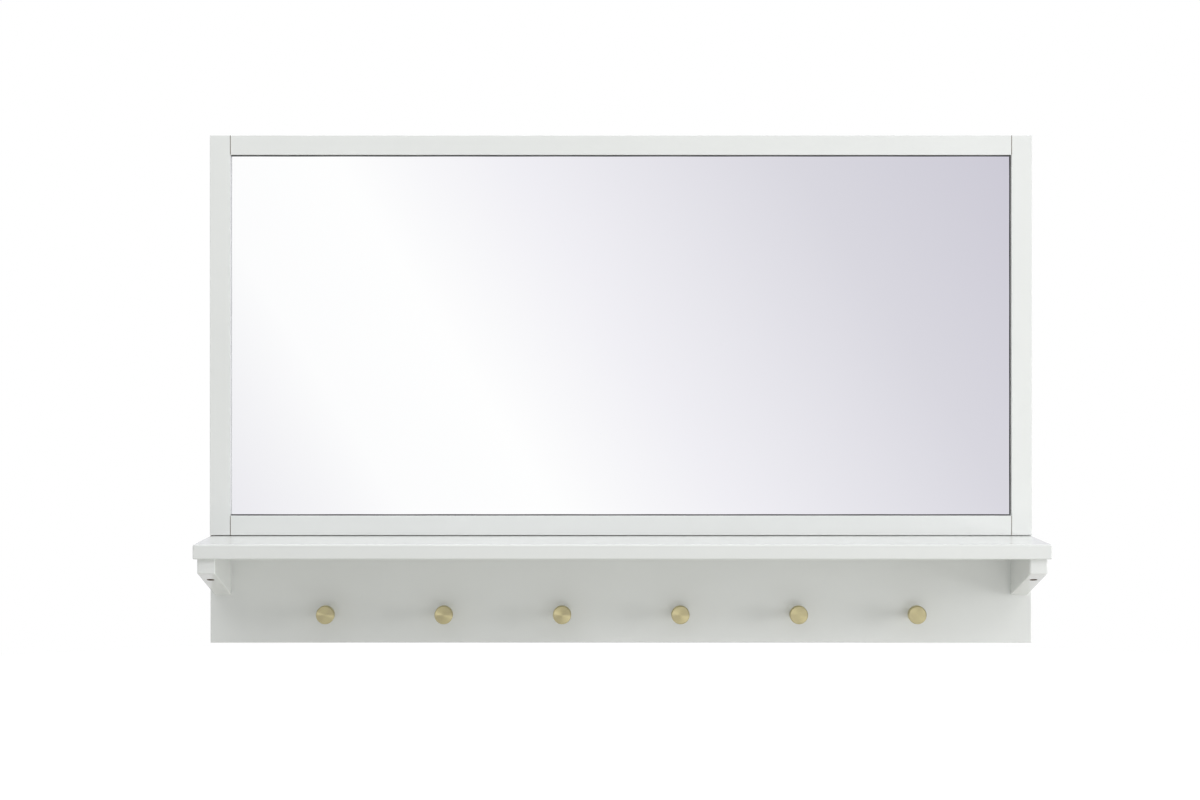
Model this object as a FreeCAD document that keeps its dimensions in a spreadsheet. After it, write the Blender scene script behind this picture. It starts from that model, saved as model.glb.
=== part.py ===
import FreeCAD, Part
import math
import os
import re
import Sketcher

# A white wall mirror in a square-edged wooden frame, with a shelf along its foot and, below the shelf,
# a board with six turned brass pegs. Millimetres, +Z up, +X to the viewer's right. The wall is at Y = 0
# and the mirror faces -Y. The origin lies on the wall, midway between the entry holes of the two
# keyhole plates that the mirror hangs on.

DRIVING_SIZES = (
    ("overall_width", "863.6", "frame, shelf and peg board"),
    ("overall_height", "533.4", "top of the frame to the foot of the peg board"),
    ("overall_depth", "127", "wall to the front of the shelf"),
    ("board_height", "113.4", "peg board, from the frame's underside down"),
    ("frame_thickness", "20", "stiles and rails, wall to front"),
    ("stile_width", "21.5", "face of a stile"),
    ("rail_width", "20.5", "face of a rail"),
    ("lip_thickness", "6.5", "wood in front of the glass"),
    ("rabbet_width", "6", "step that holds the glass, behind the lip"),
    ("front_arris", "0.6", "eased edges of the frame's front, which draw the joint lines"),
    ("dowel_diameter", "6", "dowels of the frame's corners"),
    ("dowel_length", "30", "dowels of the frame's corners"),
    ("dowel_spacing", "8", "the two dowels of a corner, wall to front"),
    ("dowel_chamfer", "0.8", "ends of all dowels"),
    ("glue_gap", "0.05", "round a dowel"),
    ("dowel_end_gap", "0.5", "beyond the end of a dowel"),
    ("tape_thickness", "0.5", "bedding tape between lip and glass"),
    ("tape_reveal", "0.4", "tape that shows past the lip"),
    ("tape_joint", "0.2", "between two strips of tape at a corner"),
    ("glass_thickness", "4", "mirror"),
    ("glass_edge_gap", "1", "glass to the wall of the rabbet"),
    ("glass_arris", "0.4", "ground edges of the glass"),
    ("backing_thickness", "3", "hardboard behind the glass"),
    ("point_thickness", "0.6", "flat steel framer's point"),
    ("point_width", "8", "along the frame member"),
    ("point_length", "15", "from its tip in the wood to its free end"),
    ("point_grip", "5", "part of the point driven into the wood"),
    ("point_gap", "0.05", "round a point in its slit"),
    ("point_end_inset", "70", "end of the opening to the first point"),
    ("board_thickness", "16", "peg board"),
    ("board_round", "1", "front edges of the peg board"),
    ("board_dowel_diameter", "8", "dowels between bottom rail and peg board"),
    ("board_dowel_length", "30", "dowels between bottom rail and peg board"),
    ("board_dowel_rise", "10", "part of the dowel in the bottom rail"),
    ("board_dowel_inset", "60", "end of the bottom rail to the first dowel"),
    ("shelf_thickness", "15", "shelf board"),
    ("shelf_gap", "0.6", "shadow gap between frame and shelf"),
    ("shelf_round", "1.5", "eased edges of the shelf"),
    ("shelf_screw_inset", "50", "end of the shelf to the first screw"),
    ("shelf_screw_bite", "28", "length of screw in the shelf"),
    ("bracket_thickness", "18", "bracket, side to side"),
    ("bracket_inset", "4", "end of the shelf to the bracket"),
    ("bracket_setback", "4", "front of the shelf to the bracket's front"),
    ("bracket_front_height", "15", "upright face at the bracket's front"),
    ("bracket_back_height", "47.5", "bracket where it meets the peg board"),
    ("bracket_round", "1.5", "eased edges of the bracket"),
    ("bracket_screw_setback", "28.5", "bracket's front to its screw"),
    ("bracket_counterbore", "8", "hole for the screw's head in the sloped face"),
    ("bracket_seat", "13", "shelf's underside to the seat of the screw's head"),
    ("bracket_screw_bite", "10", "length of screw in the shelf"),
    ("bracket_screw_head", "7.2", "diameter"),
    ("bracket_rear_drop", "18", "shelf's underside to the rear screw of the bracket"),
    ("bracket_rear_bite", "28", "length of screw in the bracket"),
    ("screw_diameter", "4", "wood screws and peg screws"),
    ("screw_head", "8", "diameter of the heads in the peg board's back"),
    ("screw_head_height", "2.8", "wood screws and peg screws"),
    ("screw_point", "4", "tapered end"),
    ("screw_gap", "0.1", "round a screw"),
    ("screw_end_gap", "0.5", "beyond the end of a screw"),
    ("counterbore_diameter", "9", "holes for the heads in the peg board's back"),
    ("counterbore_depth", "4", "holes for the heads in the peg board's back"),
    ("peg_head", "19", "diameter"),
    ("peg_head_length", "8", "head, back to front"),
    ("peg_neck", "9", "diameter"),
    ("peg_projection", "26", "peg board to the front of the head"),
    ("peg_chamfer", "0.8", "edges of the head"),
    ("peg_neck_round", "2", "hollow where the neck meets the head"),
    ("peg_height", "32", "foot of the peg board to the pegs"),
    ("peg_end_inset", "123.4", "end of the peg board to the first peg"),
    ("peg_bore_depth", "14", "threaded hole in the peg"),
    ("peg_screw_bite", "10", "length of screw in the peg"),
    ("keyhole_drop", "70", "top of the frame to the keyhole's entry"),
    ("keyhole_entry", "9", "diameter of the keyhole's entry"),
    ("keyhole_slot", "4.5", "width of the keyhole's slot"),
    ("keyhole_rise", "10", "entry to the end of the slot"),
    ("plate_width", "13", "keyhole plate"),
    ("plate_thickness", "1.5", "keyhole plate"),
    ("plate_gap", "0.1", "round the plate in its recess"),
    ("plate_screw_offset", "11", "entry, or slot's end, to the plate's screw"),
    ("plate_screw_diameter", "2.9", "shank"),
    ("plate_screw_head", "5.6", "diameter of the countersunk head"),
    ("plate_screw_length", "13", "overall"),
    ("plate_screw_point", "3", "tapered end"),
    ("head_pocket_width", "10.5", "room for the wall screw's head behind the plate"),
    ("head_pocket_depth", "10", "from the wall"),
)
PEG_COUNT = 6
SHELF_SCREW_COUNT = 5
BOARD_DOWEL_COUNT = 4
RAIL_POINT_COUNT = 5
STILE_POINT_COUNT = 3
PAIR = 2
TOUCHING = 0.01

doc = FreeCAD.newDocument("MirrorWithShelf")
sheet = doc.addObject("Spreadsheet::Sheet", "Sizes")
for row, (alias, number, note) in enumerate(DRIVING_SIZES, start=1):
    sheet.set(f"A{row}", number)
    sheet.setAlias(f"A{row}", alias)
    sheet.set(f"B{row}", note)
doc.recompute()
ALIASES = {alias for alias, number, note in DRIVING_SIZES}

# Lengths and places that follow from the driving sizes, as expressions of their names.
frame_height = "(overall_height - board_height)"
frame_bottom = f"(keyhole_drop - {frame_height})"
foot = "(keyhole_drop - overall_height)"
rail_length = "(overall_width - 2 * stile_width)"
opening_height = f"({frame_height} - 2 * rail_width)"
rail_core = "(rail_width - rabbet_width)"
tape_front = "(lip_thickness - frame_thickness)"
glass_front = f"({tape_front} + tape_thickness)"
glass_back = f"({glass_front} + glass_thickness)"
backing_back = f"({glass_back} + backing_thickness)"
glass_margin = "(rabbet_width - glass_edge_gap)"
shelf_depth = "(overall_depth - board_thickness)"
shelf_underside = f"({frame_bottom} - shelf_gap - shelf_thickness)"
bracket_depth = f"({shelf_depth} - bracket_setback)"
bracket_middle = "(bracket_inset + bracket_thickness / 2)"
bracket_span = f"(overall_width - 2 * {bracket_middle})"
bracket_screw_front = f"({bracket_depth} - bracket_screw_setback)"
peg_span = "(overall_width - 2 * peg_end_inset)"
shelf_screw_span = "(overall_width - 2 * shelf_screw_inset)"
board_dowel_span = f"({rail_length} - 2 * board_dowel_inset)"
rail_point_span = f"({rail_length} - 2 * point_end_inset)"
stile_point_span = f"({opening_height} - 2 * point_end_inset)"
hanger_offset = "((stile_width - rabbet_width) / 2)"
hanger_span = f"(overall_width - 2 * {hanger_offset})"
board_grip = "(board_thickness - counterbore_depth)"
screw_hole = "(screw_diameter + 2 * screw_gap)"


def formula(text):
    """The expression with the sheet's name before each size's own name."""
    return re.sub("[a-z_]+", lambda word: f"Sizes.{word[0]}" if word[0] in ALIASES else word[0], text)


def value(text):
    """The expression's number with the sizes as they stand."""
    return float(sheet.evalExpression(formula(text)))


def bind(thing, name, text):
    """Tie a property of an object to an expression of the sizes."""
    thing.setExpression(name, formula(text))


def place(thing, across="0", deep="0", up="0"):
    """Put a sub-part where the expressions say, in the mirror's own frame."""
    for axis, text in (("x", across), ("y", deep), ("z", up)):
        bind(thing, f"Placement.Base.{axis}", text)


def origin_feature(body, role):
    """One of the planes or axes of a body's own origin."""
    return next(feature for feature in body.Origin.OriginFeatures if feature.Role == role)


def sketch_on(body, name, role, offset="0"):
    """An empty sketch on a plane of the body's origin, lifted along the plane's normal."""
    sketch = body.newObject("Sketcher::SketchObject", name)
    sketch.AttachmentSupport = [(origin_feature(body, role), "")]
    sketch.MapMode = "FlatFace"
    bind(sketch, "AttachmentOffset.Base.z", offset)
    return sketch


def tie(sketch, constraint, text):
    """Add a constraint whose size is an expression."""
    index = sketch.addConstraint(constraint)
    sketch.setExpression(f"Constraints[{index}]", formula(text))


def tie_point(sketch, curve, end, across, up):
    """Hold one point of a curve at its place from the sketch's origin."""
    for kind, text in (("DistanceX", across), ("DistanceY", up)):
        tie(sketch, Sketcher.Constraint(kind, -1, 1, curve, end, value(text)), text)


def outline(sketch, points):
    """A closed outline of straight lines through points given as pairs of expressions."""
    corners = [FreeCAD.Vector(value(across), value(up), 0) for across, up in points]
    first = sketch.GeometryCount
    for start, end in zip(corners, corners[1:] + corners[:1]):
        sketch.addGeometry(Part.LineSegment(start, end), False)
    for index, (across, up) in enumerate(points):
        following = first + (index + 1) % len(points)
        sketch.addConstraint(Sketcher.Constraint("Coincident", first + index, 2, following, 1))
        tie_point(sketch, first + index, 1, across, up)


def rectangle(sketch, left, low, right, high):
    """A rectangle between two pairs of expressions."""
    outline(sketch, [(left, low), (right, low), (right, high), (left, high)])


def circle(sketch, across, up, diameter):
    """A circle at a point given as expressions."""
    centre = FreeCAD.Vector(value(across), value(up), 0)
    shape = Part.Circle(centre, FreeCAD.Vector(0, 0, 1), value(diameter) / 2)
    index = sketch.addGeometry(shape, False)
    tie_point(sketch, index, 3, across, up)
    tie(sketch, Sketcher.Constraint("Diameter", index, value(diameter)), diameter)


def upright_slot(sketch, across, low, high, width):
    """A round-ended slot whose end arcs are centred at low and high."""
    x, bottom, top, radius = value(across), value(low), value(high), value(width) / 2
    up = FreeCAD.Vector(0, 0, 1)
    crown = Part.ArcOfCircle(Part.Circle(FreeCAD.Vector(x, top, 0), up, radius), 0, math.pi)
    base = Part.ArcOfCircle(Part.Circle(FreeCAD.Vector(x, bottom, 0), up, radius), math.pi, 2 * math.pi)
    left_top = FreeCAD.Vector(x - radius, top, 0)
    left_bottom = FreeCAD.Vector(x - radius, bottom, 0)
    right_top = FreeCAD.Vector(x + radius, top, 0)
    right_bottom = FreeCAD.Vector(x + radius, bottom, 0)
    loop = [
        sketch.addGeometry(crown, False),
        sketch.addGeometry(Part.LineSegment(left_top, left_bottom), False),
        sketch.addGeometry(base, False),
        sketch.addGeometry(Part.LineSegment(right_bottom, right_top), False),
    ]
    for curve, following in zip(loop, loop[1:] + loop[:1]):
        sketch.addConstraint(Sketcher.Constraint("Tangent", curve, 2, following, 1))
    sketch.addConstraint(Sketcher.Constraint("Equal", loop[0], loop[2]))
    tie_point(sketch, loop[0], 3, across, high)
    tie_point(sketch, loop[2], 3, across, low)
    tie(sketch, Sketcher.Constraint("Radius", loop[0], radius), f"({width}) / 2")


def pad(body, sketch, length, symmetric=False):
    """A solid from a sketch, along the sketch's normal or to both sides of it."""
    feature = body.newObject("PartDesign::Pad", f"{sketch.Name}_pad")
    feature.Profile = sketch
    feature.SideType = "Symmetric" if symmetric else "One side"
    bind(feature, "Length", length)
    doc.recompute()
    return feature


def pocket(body, sketch, depth, along_normal=False):
    """A cut from a sketch, against the sketch's normal unless along_normal is set."""
    solid_before = body.Shape.Volume
    feature = body.newObject("PartDesign::Pocket", f"{sketch.Name}_cut")
    feature.Profile = sketch
    feature.Reversed = along_normal
    bind(feature, "Length", depth)
    doc.recompute()
    if not body.Shape.Volume < solid_before:
        raise ValueError(f"{feature.Name} of {body.Label} cuts nothing")
    return feature


def screw_hole_row(body, sketch, span, count):
    """Counterbored screw holes through the peg board from its back, in a row along X."""
    doc.recompute()
    feature = body.newObject("PartDesign::Hole", f"{sketch.Name}_bore")
    feature.Profile = sketch
    doc.recompute()
    feature.Reversed = True
    feature.Threaded = False
    feature.HoleCutType = "Counterbore"
    feature.DepthType = "Dimension"
    feature.DrillPoint = "Flat"
    bind(feature, "Diameter", screw_hole)
    bind(feature, "Depth", "board_thickness")
    bind(feature, "HoleCutDiameter", "counterbore_diameter")
    bind(feature, "HoleCutDepth", "counterbore_depth")
    spread(body, [feature], "X_Axis", span, count)


def spread(body, features, axis, span, count, second_axis=None, second_span=None, second_count=1):
    """Repeat features, or the whole body where there are none, evenly over one span or two."""
    pattern = body.newObject("PartDesign::LinearPattern", f"{body.Label}_row")
    if features:
        pattern.Originals = features
    else:
        pattern.TransformMode = "Whole shape"
    pattern.Direction = (origin_feature(body, axis), [""])
    pattern.Occurrences = count
    bind(pattern, "Length", span)
    if second_axis:
        pattern.Direction2 = (origin_feature(body, second_axis), [""])
        pattern.Occurrences2 = second_count
        bind(pattern, "Length2", second_span)
    body.Tip = pattern
    doc.recompute()


def round_edges(body, radius, wanted):
    """Round the edges of the body's last feature that wanted picks by their bounding boxes."""
    base = body.Tip
    edges = [f"Edge{number}" for number, edge in enumerate(base.Shape.Edges, 1) if wanted(edge.BoundBox)]
    fillet = body.newObject("PartDesign::Fillet", f"{body.Label}_round")
    fillet.Base = (base, edges)
    bind(fillet, "Radius", radius)
    doc.recompute()


def turned(body, profile):
    """A solid turned about the body's Y axis from a profile of (radius, place along Y) expressions."""
    sketch = sketch_on(body, f"{body.Label}_profile", "XY_Plane")
    outline(sketch, profile)
    feature = body.newObject("PartDesign::Revolution", f"{body.Label}_turned")
    feature.Profile = sketch
    feature.ReferenceAxis = (sketch, ["V_Axis"])
    feature.Angle = 360
    doc.recompute()


sub_parts = []


def new_body(label):
    """An empty body whose label names its node."""
    body = doc.addObject("PartDesign::Body", label)
    sub_parts.append(body)
    return body


def mirrored_twin(label, source):
    """The right-hand piece of a pair, a mirror image of the left-hand one."""
    twin = doc.addObject("Part::Mirroring", label)
    twin.Source = source
    twin.Normal = FreeCAD.Vector(1, 0, 0)
    sub_parts.append(twin)


def on_front(depth):
    """Picks the edges that lie in the plane at this depth in front of a body's back."""
    front = -value(depth) + TOUCHING
    return lambda box: box.YMax < front


# Stiles: the frame's uprights, full height. Each has a rabbet for the glass between the rails, dowel
# holes for the rails' ends, slits for the framer's points, and a keyhole plate let into its back.
def build_stiles():
    stile = new_body("left_stile")
    section = sketch_on(stile, "stile_section", "XY_Plane")
    rectangle(section, "0", "-frame_thickness", "stile_width", "0")
    pad(stile, section, frame_height)
    round_edges(stile, "front_arris", on_front("frame_thickness"))

    rabbet = sketch_on(stile, "stile_rabbet", "XZ_Plane")
    rabbet_wall = "stile_width - rabbet_width"
    rectangle(rabbet, rabbet_wall, rail_core, "stile_width", f"{frame_height} - {rail_core}")
    pocket(stile, rabbet, "frame_thickness - lip_thickness", along_normal=True)

    joints = sketch_on(stile, "stile_joints", "YZ_Plane", "stile_width")
    for level in (f"{rail_core} / 2", f"{frame_height} - {rail_core} / 2"):
        for depth in ("-(frame_thickness - dowel_spacing) / 2", "-(frame_thickness + dowel_spacing) / 2"):
            circle(joints, depth, level, "dowel_diameter + 2 * glue_gap")
    pocket(stile, joints, "dowel_length / 2 + dowel_end_gap")

    slit = sketch_on(stile, "stile_slit", "YZ_Plane", rabbet_wall)
    first = "rail_width + point_end_inset"
    rectangle(
        slit,
        f"{backing_back} - point_gap",
        f"{first} - point_width / 2 - point_gap",
        f"{backing_back} + point_thickness + point_gap",
        f"{first} + point_width / 2 + point_gap",
    )
    cut = pocket(stile, slit, "point_grip + point_gap")
    spread(stile, [cut], "Z_Axis", stile_point_span, STILE_POINT_COUNT)

    entry = f"{frame_height} - keyhole_drop"
    low_screw = f"{entry} - plate_screw_offset"
    high_screw = f"{entry} + keyhole_rise + plate_screw_offset"
    recess = sketch_on(stile, "plate_recess", "XZ_Plane")
    upright_slot(recess, hanger_offset, low_screw, high_screw, "plate_width + 2 * plate_gap")
    pocket(stile, recess, "plate_thickness", along_normal=True)
    head_room = sketch_on(stile, "head_room", "XZ_Plane")
    upright_slot(head_room, hanger_offset, entry, f"{entry} + keyhole_rise", "head_pocket_width")
    pocket(stile, head_room, "head_pocket_depth", along_normal=True)
    pilots = sketch_on(stile, "plate_pilots", "XZ_Plane")
    for level in (low_screw, high_screw):
        circle(pilots, hanger_offset, level, "plate_screw_diameter + 2 * screw_gap")
    pocket(stile, pilots, "plate_screw_length + screw_end_gap", along_normal=True)

    place(stile, "-overall_width / 2", "0", frame_bottom)
    mirrored_twin("right_stile", stile)


# Rails: the frame's cross members, butted between the stiles, with the rabbet along their inner edge.
# The bottom rail also takes the dowels of the peg board.
def build_rail(label, outer_edge, inward):
    rail = new_body(label)
    section = sketch_on(rail, f"{label}_section", "YZ_Plane")
    outline(
        section,
        [
            ("0", "0"),
            ("-frame_thickness", "0"),
            ("-frame_thickness", f"{inward} * rail_width"),
            (tape_front, f"{inward} * rail_width"),
            (tape_front, f"{inward} * {rail_core}"),
            ("0", f"{inward} * {rail_core}"),
        ],
    )
    pad(rail, section, rail_length, symmetric=True)
    round_edges(rail, "front_arris", on_front("frame_thickness"))

    joint = sketch_on(rail, f"{label}_joint", "YZ_Plane", f"{rail_length} / 2")
    for depth in ("-(frame_thickness - dowel_spacing) / 2", "-(frame_thickness + dowel_spacing) / 2"):
        circle(joint, depth, f"{inward} * {rail_core} / 2", "dowel_diameter + 2 * glue_gap")
    one_end = pocket(rail, joint, "dowel_length / 2 + dowel_end_gap")
    both_ends = rail.newObject("PartDesign::Mirrored", f"{label}_ends")
    both_ends.Originals = [one_end]
    both_ends.MirrorPlane = (origin_feature(rail, "YZ_Plane"), [""])
    rail.Tip = both_ends
    doc.recompute()

    slit = sketch_on(rail, f"{label}_slit", "XY_Plane", f"{inward} * {rail_core}")
    rectangle(
        slit,
        f"-{rail_point_span} / 2 - point_width / 2 - point_gap",
        f"{backing_back} - point_gap",
        f"-{rail_point_span} / 2 + point_width / 2 + point_gap",
        f"{backing_back} + point_thickness + point_gap",
    )
    cut = pocket(rail, slit, "point_grip + point_gap", along_normal=inward == "-1")
    spread(rail, [cut], "X_Axis", rail_point_span, RAIL_POINT_COUNT)
    place(rail, "0", "0", outer_edge)
    return rail


def build_rails():
    build_rail("top_rail", "keyhole_drop", "-1")
    bottom_rail = build_rail("bottom_rail", frame_bottom, "1")
    sockets = sketch_on(bottom_rail, "board_sockets", "XY_Plane")
    socket_diameter = "board_dowel_diameter + 2 * glue_gap"
    circle(sockets, f"-{board_dowel_span} / 2", "-board_thickness / 2", socket_diameter)
    cut = pocket(bottom_rail, sockets, "board_dowel_rise + dowel_end_gap", along_normal=True)
    spread(bottom_rail, [cut], "X_Axis", board_dowel_span, BOARD_DOWEL_COUNT)


# Dowels: turned beech pins with chamfered ends, glued half in each piece.
def dowel_profile(diameter, start, end):
    radius = f"{diameter} / 2"
    return [
        ("0", start),
        (f"{radius} - dowel_chamfer", start),
        (radius, f"{start} + dowel_chamfer"),
        (radius, f"{end} - dowel_chamfer"),
        (f"{radius} - dowel_chamfer", end),
        ("0", end),
    ]


def build_dowels():
    corner = new_body("frame_dowels")
    turned(corner, dowel_profile("dowel_diameter", "-dowel_length / 2", "dowel_length / 2"))
    corner_levels = f"{frame_height} - {rail_core}"
    spread(corner, [], "Y_Axis", rail_length, PAIR, "Z_Axis", corner_levels, PAIR)
    spread(corner, [], "X_Axis", "dowel_spacing", PAIR)
    corner.Placement.Rotation = FreeCAD.Rotation(FreeCAD.Vector(0, 0, 1), -90)
    place(
        corner,
        f"-{rail_length} / 2",
        "-(frame_thickness - dowel_spacing) / 2",
        f"{frame_bottom} + {rail_core} / 2",
    )

    board = new_body("board_dowels")
    turned(
        board,
        dowel_profile("board_dowel_diameter", "-board_dowel_rise", "board_dowel_length - board_dowel_rise"),
    )
    spread(board, [], "X_Axis", board_dowel_span, BOARD_DOWEL_COUNT)
    board.Placement.Rotation = FreeCAD.Rotation(FreeCAD.Vector(1, 0, 0), -90)
    place(board, f"-{board_dowel_span} / 2", "-board_thickness / 2", frame_bottom)


# Mirror: silvered glass with ground edges, bedded on black tape behind the lip. A hardboard back lies on
# it, held by flat steel points driven into the wall of the rabbet.
def build_mirror():
    half_glass = f"({rail_length} / 2 + {glass_margin})"
    glass_low = f"(rail_width - {glass_margin})"
    glass_high = f"({frame_height} - rail_width + {glass_margin})"
    tape_side = f"({rail_length} / 2 - tape_reveal)"
    tape_low = "(rail_width + tape_reveal)"
    tape_high = f"({frame_height} - rail_width - tape_reveal)"

    tape = new_body("glazing_tape")
    strips = sketch_on(tape, "tape_strips", "XZ_Plane", f"-{glass_front}")
    rectangle(strips, f"-{half_glass}", glass_low, half_glass, tape_low)
    rectangle(strips, f"-{half_glass}", tape_high, half_glass, glass_high)
    side_low, side_high = f"{tape_low} + tape_joint", f"{tape_high} - tape_joint"
    rectangle(strips, f"-{half_glass}", side_low, f"-{tape_side}", side_high)
    rectangle(strips, tape_side, side_low, half_glass, side_high)
    pad(tape, strips, "tape_thickness")

    glass = new_body("mirror_glass")
    pane = sketch_on(glass, "glass_pane", "XZ_Plane", f"-{glass_back}")
    rectangle(pane, f"-{half_glass}", glass_low, half_glass, glass_high)
    pad(glass, pane, "glass_thickness")
    round_edges(glass, "glass_arris", lambda box: box.YLength < TOUCHING)

    backing = new_body("backing_board")
    panel = sketch_on(backing, "backing_panel", "XZ_Plane", f"-{backing_back}")
    rectangle(panel, f"-{half_glass}", glass_low, half_glass, glass_high)
    pad(backing, panel, "backing_thickness")
    for piece in (tape, glass, backing):
        place(piece, "0", "0", frame_bottom)


def build_framer_points():
    points = new_body("framer_points")
    reach = "(point_length - point_grip)"
    surface = f"-({backing_back} + point_thickness)"
    on_rails = sketch_on(points, "rail_point", "XZ_Plane", surface)
    rectangle(
        on_rails,
        f"-{rail_point_span} / 2 - point_width / 2",
        f"{rail_core} - point_grip",
        f"-{rail_point_span} / 2 + point_width / 2",
        f"{rail_core} + {reach}",
    )
    tab = pad(points, on_rails, "point_thickness")
    rail_rise = f"({frame_height} - 2 * {rail_core} + point_grip - {reach})"
    spread(points, [tab], "X_Axis", rail_point_span, RAIL_POINT_COUNT, "Z_Axis", rail_rise, PAIR)

    on_stiles = sketch_on(points, "stile_point", "XZ_Plane", surface)
    wall = f"({rail_length} / 2 + rabbet_width)"
    rectangle(
        on_stiles,
        f"-{wall} - point_grip",
        "rail_width + point_end_inset - point_width / 2",
        f"-{wall} + {reach}",
        "rail_width + point_end_inset + point_width / 2",
    )
    tab = pad(points, on_stiles, "point_thickness")
    stile_reach = f"(2 * {wall} + point_grip - {reach})"
    spread(points, [tab], "X_Axis", stile_reach, PAIR, "Z_Axis", stile_point_span, STILE_POINT_COUNT)
    place(points, "0", "0", frame_bottom)


# Peg board: the board below the frame. It stands against the wall and goes up behind the shelf, and its
# back has counterbored holes for the screws of the shelf, the brackets and the pegs.
def build_peg_board():
    board = new_body("peg_board")
    face = sketch_on(board, "board_face", "XZ_Plane")
    rectangle(face, "-overall_width / 2", "0", "overall_width / 2", "board_height")
    pad(board, face, "board_thickness")
    top = value("board_height") - TOUCHING
    front = on_front("board_thickness")
    round_edges(board, "board_round", lambda box: front(box) and box.ZMin < top)

    sockets = sketch_on(board, "dowel_sockets", "XY_Plane", "board_height")
    socket_diameter = "board_dowel_diameter + 2 * glue_gap"
    circle(sockets, f"-{board_dowel_span} / 2", "-board_thickness / 2", socket_diameter)
    cut = pocket(board, sockets, "board_dowel_length - board_dowel_rise + dowel_end_gap")
    spread(board, [cut], "X_Axis", board_dowel_span, BOARD_DOWEL_COUNT)

    shelf_level = "board_height - shelf_gap - shelf_thickness / 2"
    bracket_level = "board_height - shelf_gap - shelf_thickness - bracket_rear_drop"
    for name, span, level, count in (
        ("peg_holes", peg_span, "peg_height", PEG_COUNT),
        ("shelf_holes", shelf_screw_span, shelf_level, SHELF_SCREW_COUNT),
        ("bracket_holes", bracket_span, bracket_level, PAIR),
    ):
        holes = sketch_on(board, name, "XZ_Plane")
        circle(holes, f"-{span} / 2", level, screw_hole)
        screw_hole_row(board, holes, span, count)
    place(board, "0", "0", foot)


# Shelf: one board as wide as the frame, butted against the peg board and tucked under the frame.
def build_shelf():
    shelf = new_body("shelf_board")
    plan = sketch_on(shelf, "shelf_plan", "XY_Plane")
    rectangle(plan, "-overall_width / 2", f"-{shelf_depth}", "overall_width / 2", "0")
    pad(shelf, plan, "shelf_thickness")
    round_edges(shelf, "shelf_round", lambda box: box.YMin < -TOUCHING)

    rear = sketch_on(shelf, "rear_pilots", "XZ_Plane")
    circle(rear, f"-{shelf_screw_span} / 2", "shelf_thickness / 2", screw_hole)
    cut = pocket(shelf, rear, "shelf_screw_bite + screw_end_gap", along_normal=True)
    spread(shelf, [cut], "X_Axis", shelf_screw_span, SHELF_SCREW_COUNT)

    under = sketch_on(shelf, "bracket_pilots", "XY_Plane")
    circle(under, f"-{bracket_span} / 2", f"-{bracket_screw_front}", screw_hole)
    cut = pocket(shelf, under, "bracket_screw_bite + screw_end_gap", along_normal=True)
    spread(shelf, [cut], "X_Axis", bracket_span, PAIR)
    place(shelf, "0", "-board_thickness", shelf_underside)


# Brackets: solid wedges under the shelf's ends, with an upright nose, a sloped underside and a
# counterbored screw hole that opens in the slope.
def build_brackets():
    bracket = new_body("left_bracket")
    side = sketch_on(bracket, "bracket_side", "YZ_Plane")
    outline(
        side,
        [
            ("0", "0"),
            (f"-{bracket_depth}", "0"),
            (f"-{bracket_depth}", "-bracket_front_height"),
            ("0", "-bracket_back_height"),
        ],
    )
    pad(bracket, side, "bracket_thickness")
    round_edges(bracket, "bracket_round", lambda box: box.YMin < -TOUCHING and box.ZMin < -TOUCHING)

    bore = sketch_on(bracket, "bracket_bore", "XY_Plane")
    circle(bore, "bracket_thickness / 2", f"-{bracket_screw_front}", screw_hole)
    pocket(bracket, bore, "bracket_back_height")
    seat = sketch_on(bracket, "bracket_screw_seat", "XY_Plane", "-bracket_seat")
    circle(seat, "bracket_thickness / 2", f"-{bracket_screw_front}", "bracket_counterbore")
    pocket(bracket, seat, "bracket_back_height")
    rear = sketch_on(bracket, "bracket_rear_pilot", "XZ_Plane")
    circle(rear, "bracket_thickness / 2", "-bracket_rear_drop", screw_hole)
    pocket(bracket, rear, "bracket_rear_bite + screw_end_gap", along_normal=True)
    place(bracket, "bracket_inset - overall_width / 2", "-board_thickness", shelf_underside)
    mirrored_twin("right_bracket", bracket)


# Pegs: turned brass, a flat round head with chamfered edges on a slim neck, tapped from behind.
def build_pegs():
    head_back = "-(peg_projection - peg_head_length)"
    for index in range(PEG_COUNT):
        peg = new_body(f"peg_{index + 1}")
        turned(
            peg,
            [
                (f"{screw_hole} / 2", "0"),
                ("peg_neck / 2", "0"),
                ("peg_neck / 2", head_back),
                ("peg_head / 2 - peg_chamfer", head_back),
                ("peg_head / 2", f"{head_back} - peg_chamfer"),
                ("peg_head / 2", "peg_chamfer - peg_projection"),
                ("peg_head / 2 - peg_chamfer", "-peg_projection"),
                ("0", "-peg_projection"),
                ("0", "-peg_bore_depth"),
                (f"{screw_hole} / 2", "-peg_bore_depth"),
            ],
        )
        neck_end = value(head_back)
        neck_size = value("peg_neck") + TOUCHING
        round_edges(
            peg,
            "peg_neck_round",
            lambda box: abs(box.YMax - neck_end) < TOUCHING and box.XLength < neck_size,
        )
        across = f"-{peg_span} / 2 + {index} * {peg_span} / {PEG_COUNT - 1}"
        place(peg, across, "-board_thickness", f"{foot} + peg_height")


# Screws: turned steel with crowned heads, the head's seat at the body's origin and the shank along -Y.
def crowned_screw(label, head_diameter, length):
    screw = new_body(label)
    head = f"{head_diameter} / 2"
    shank = "screw_diameter / 2"
    turned(
        screw,
        [
            ("0", "screw_head_height"),
            (f"{head} - screw_head_height / 2", "screw_head_height"),
            (head, "screw_head_height / 2"),
            (head, "0"),
            (shank, "0"),
            (shank, f"screw_point - {length}"),
            ("0", f"-{length}"),
        ],
    )
    return screw


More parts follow.
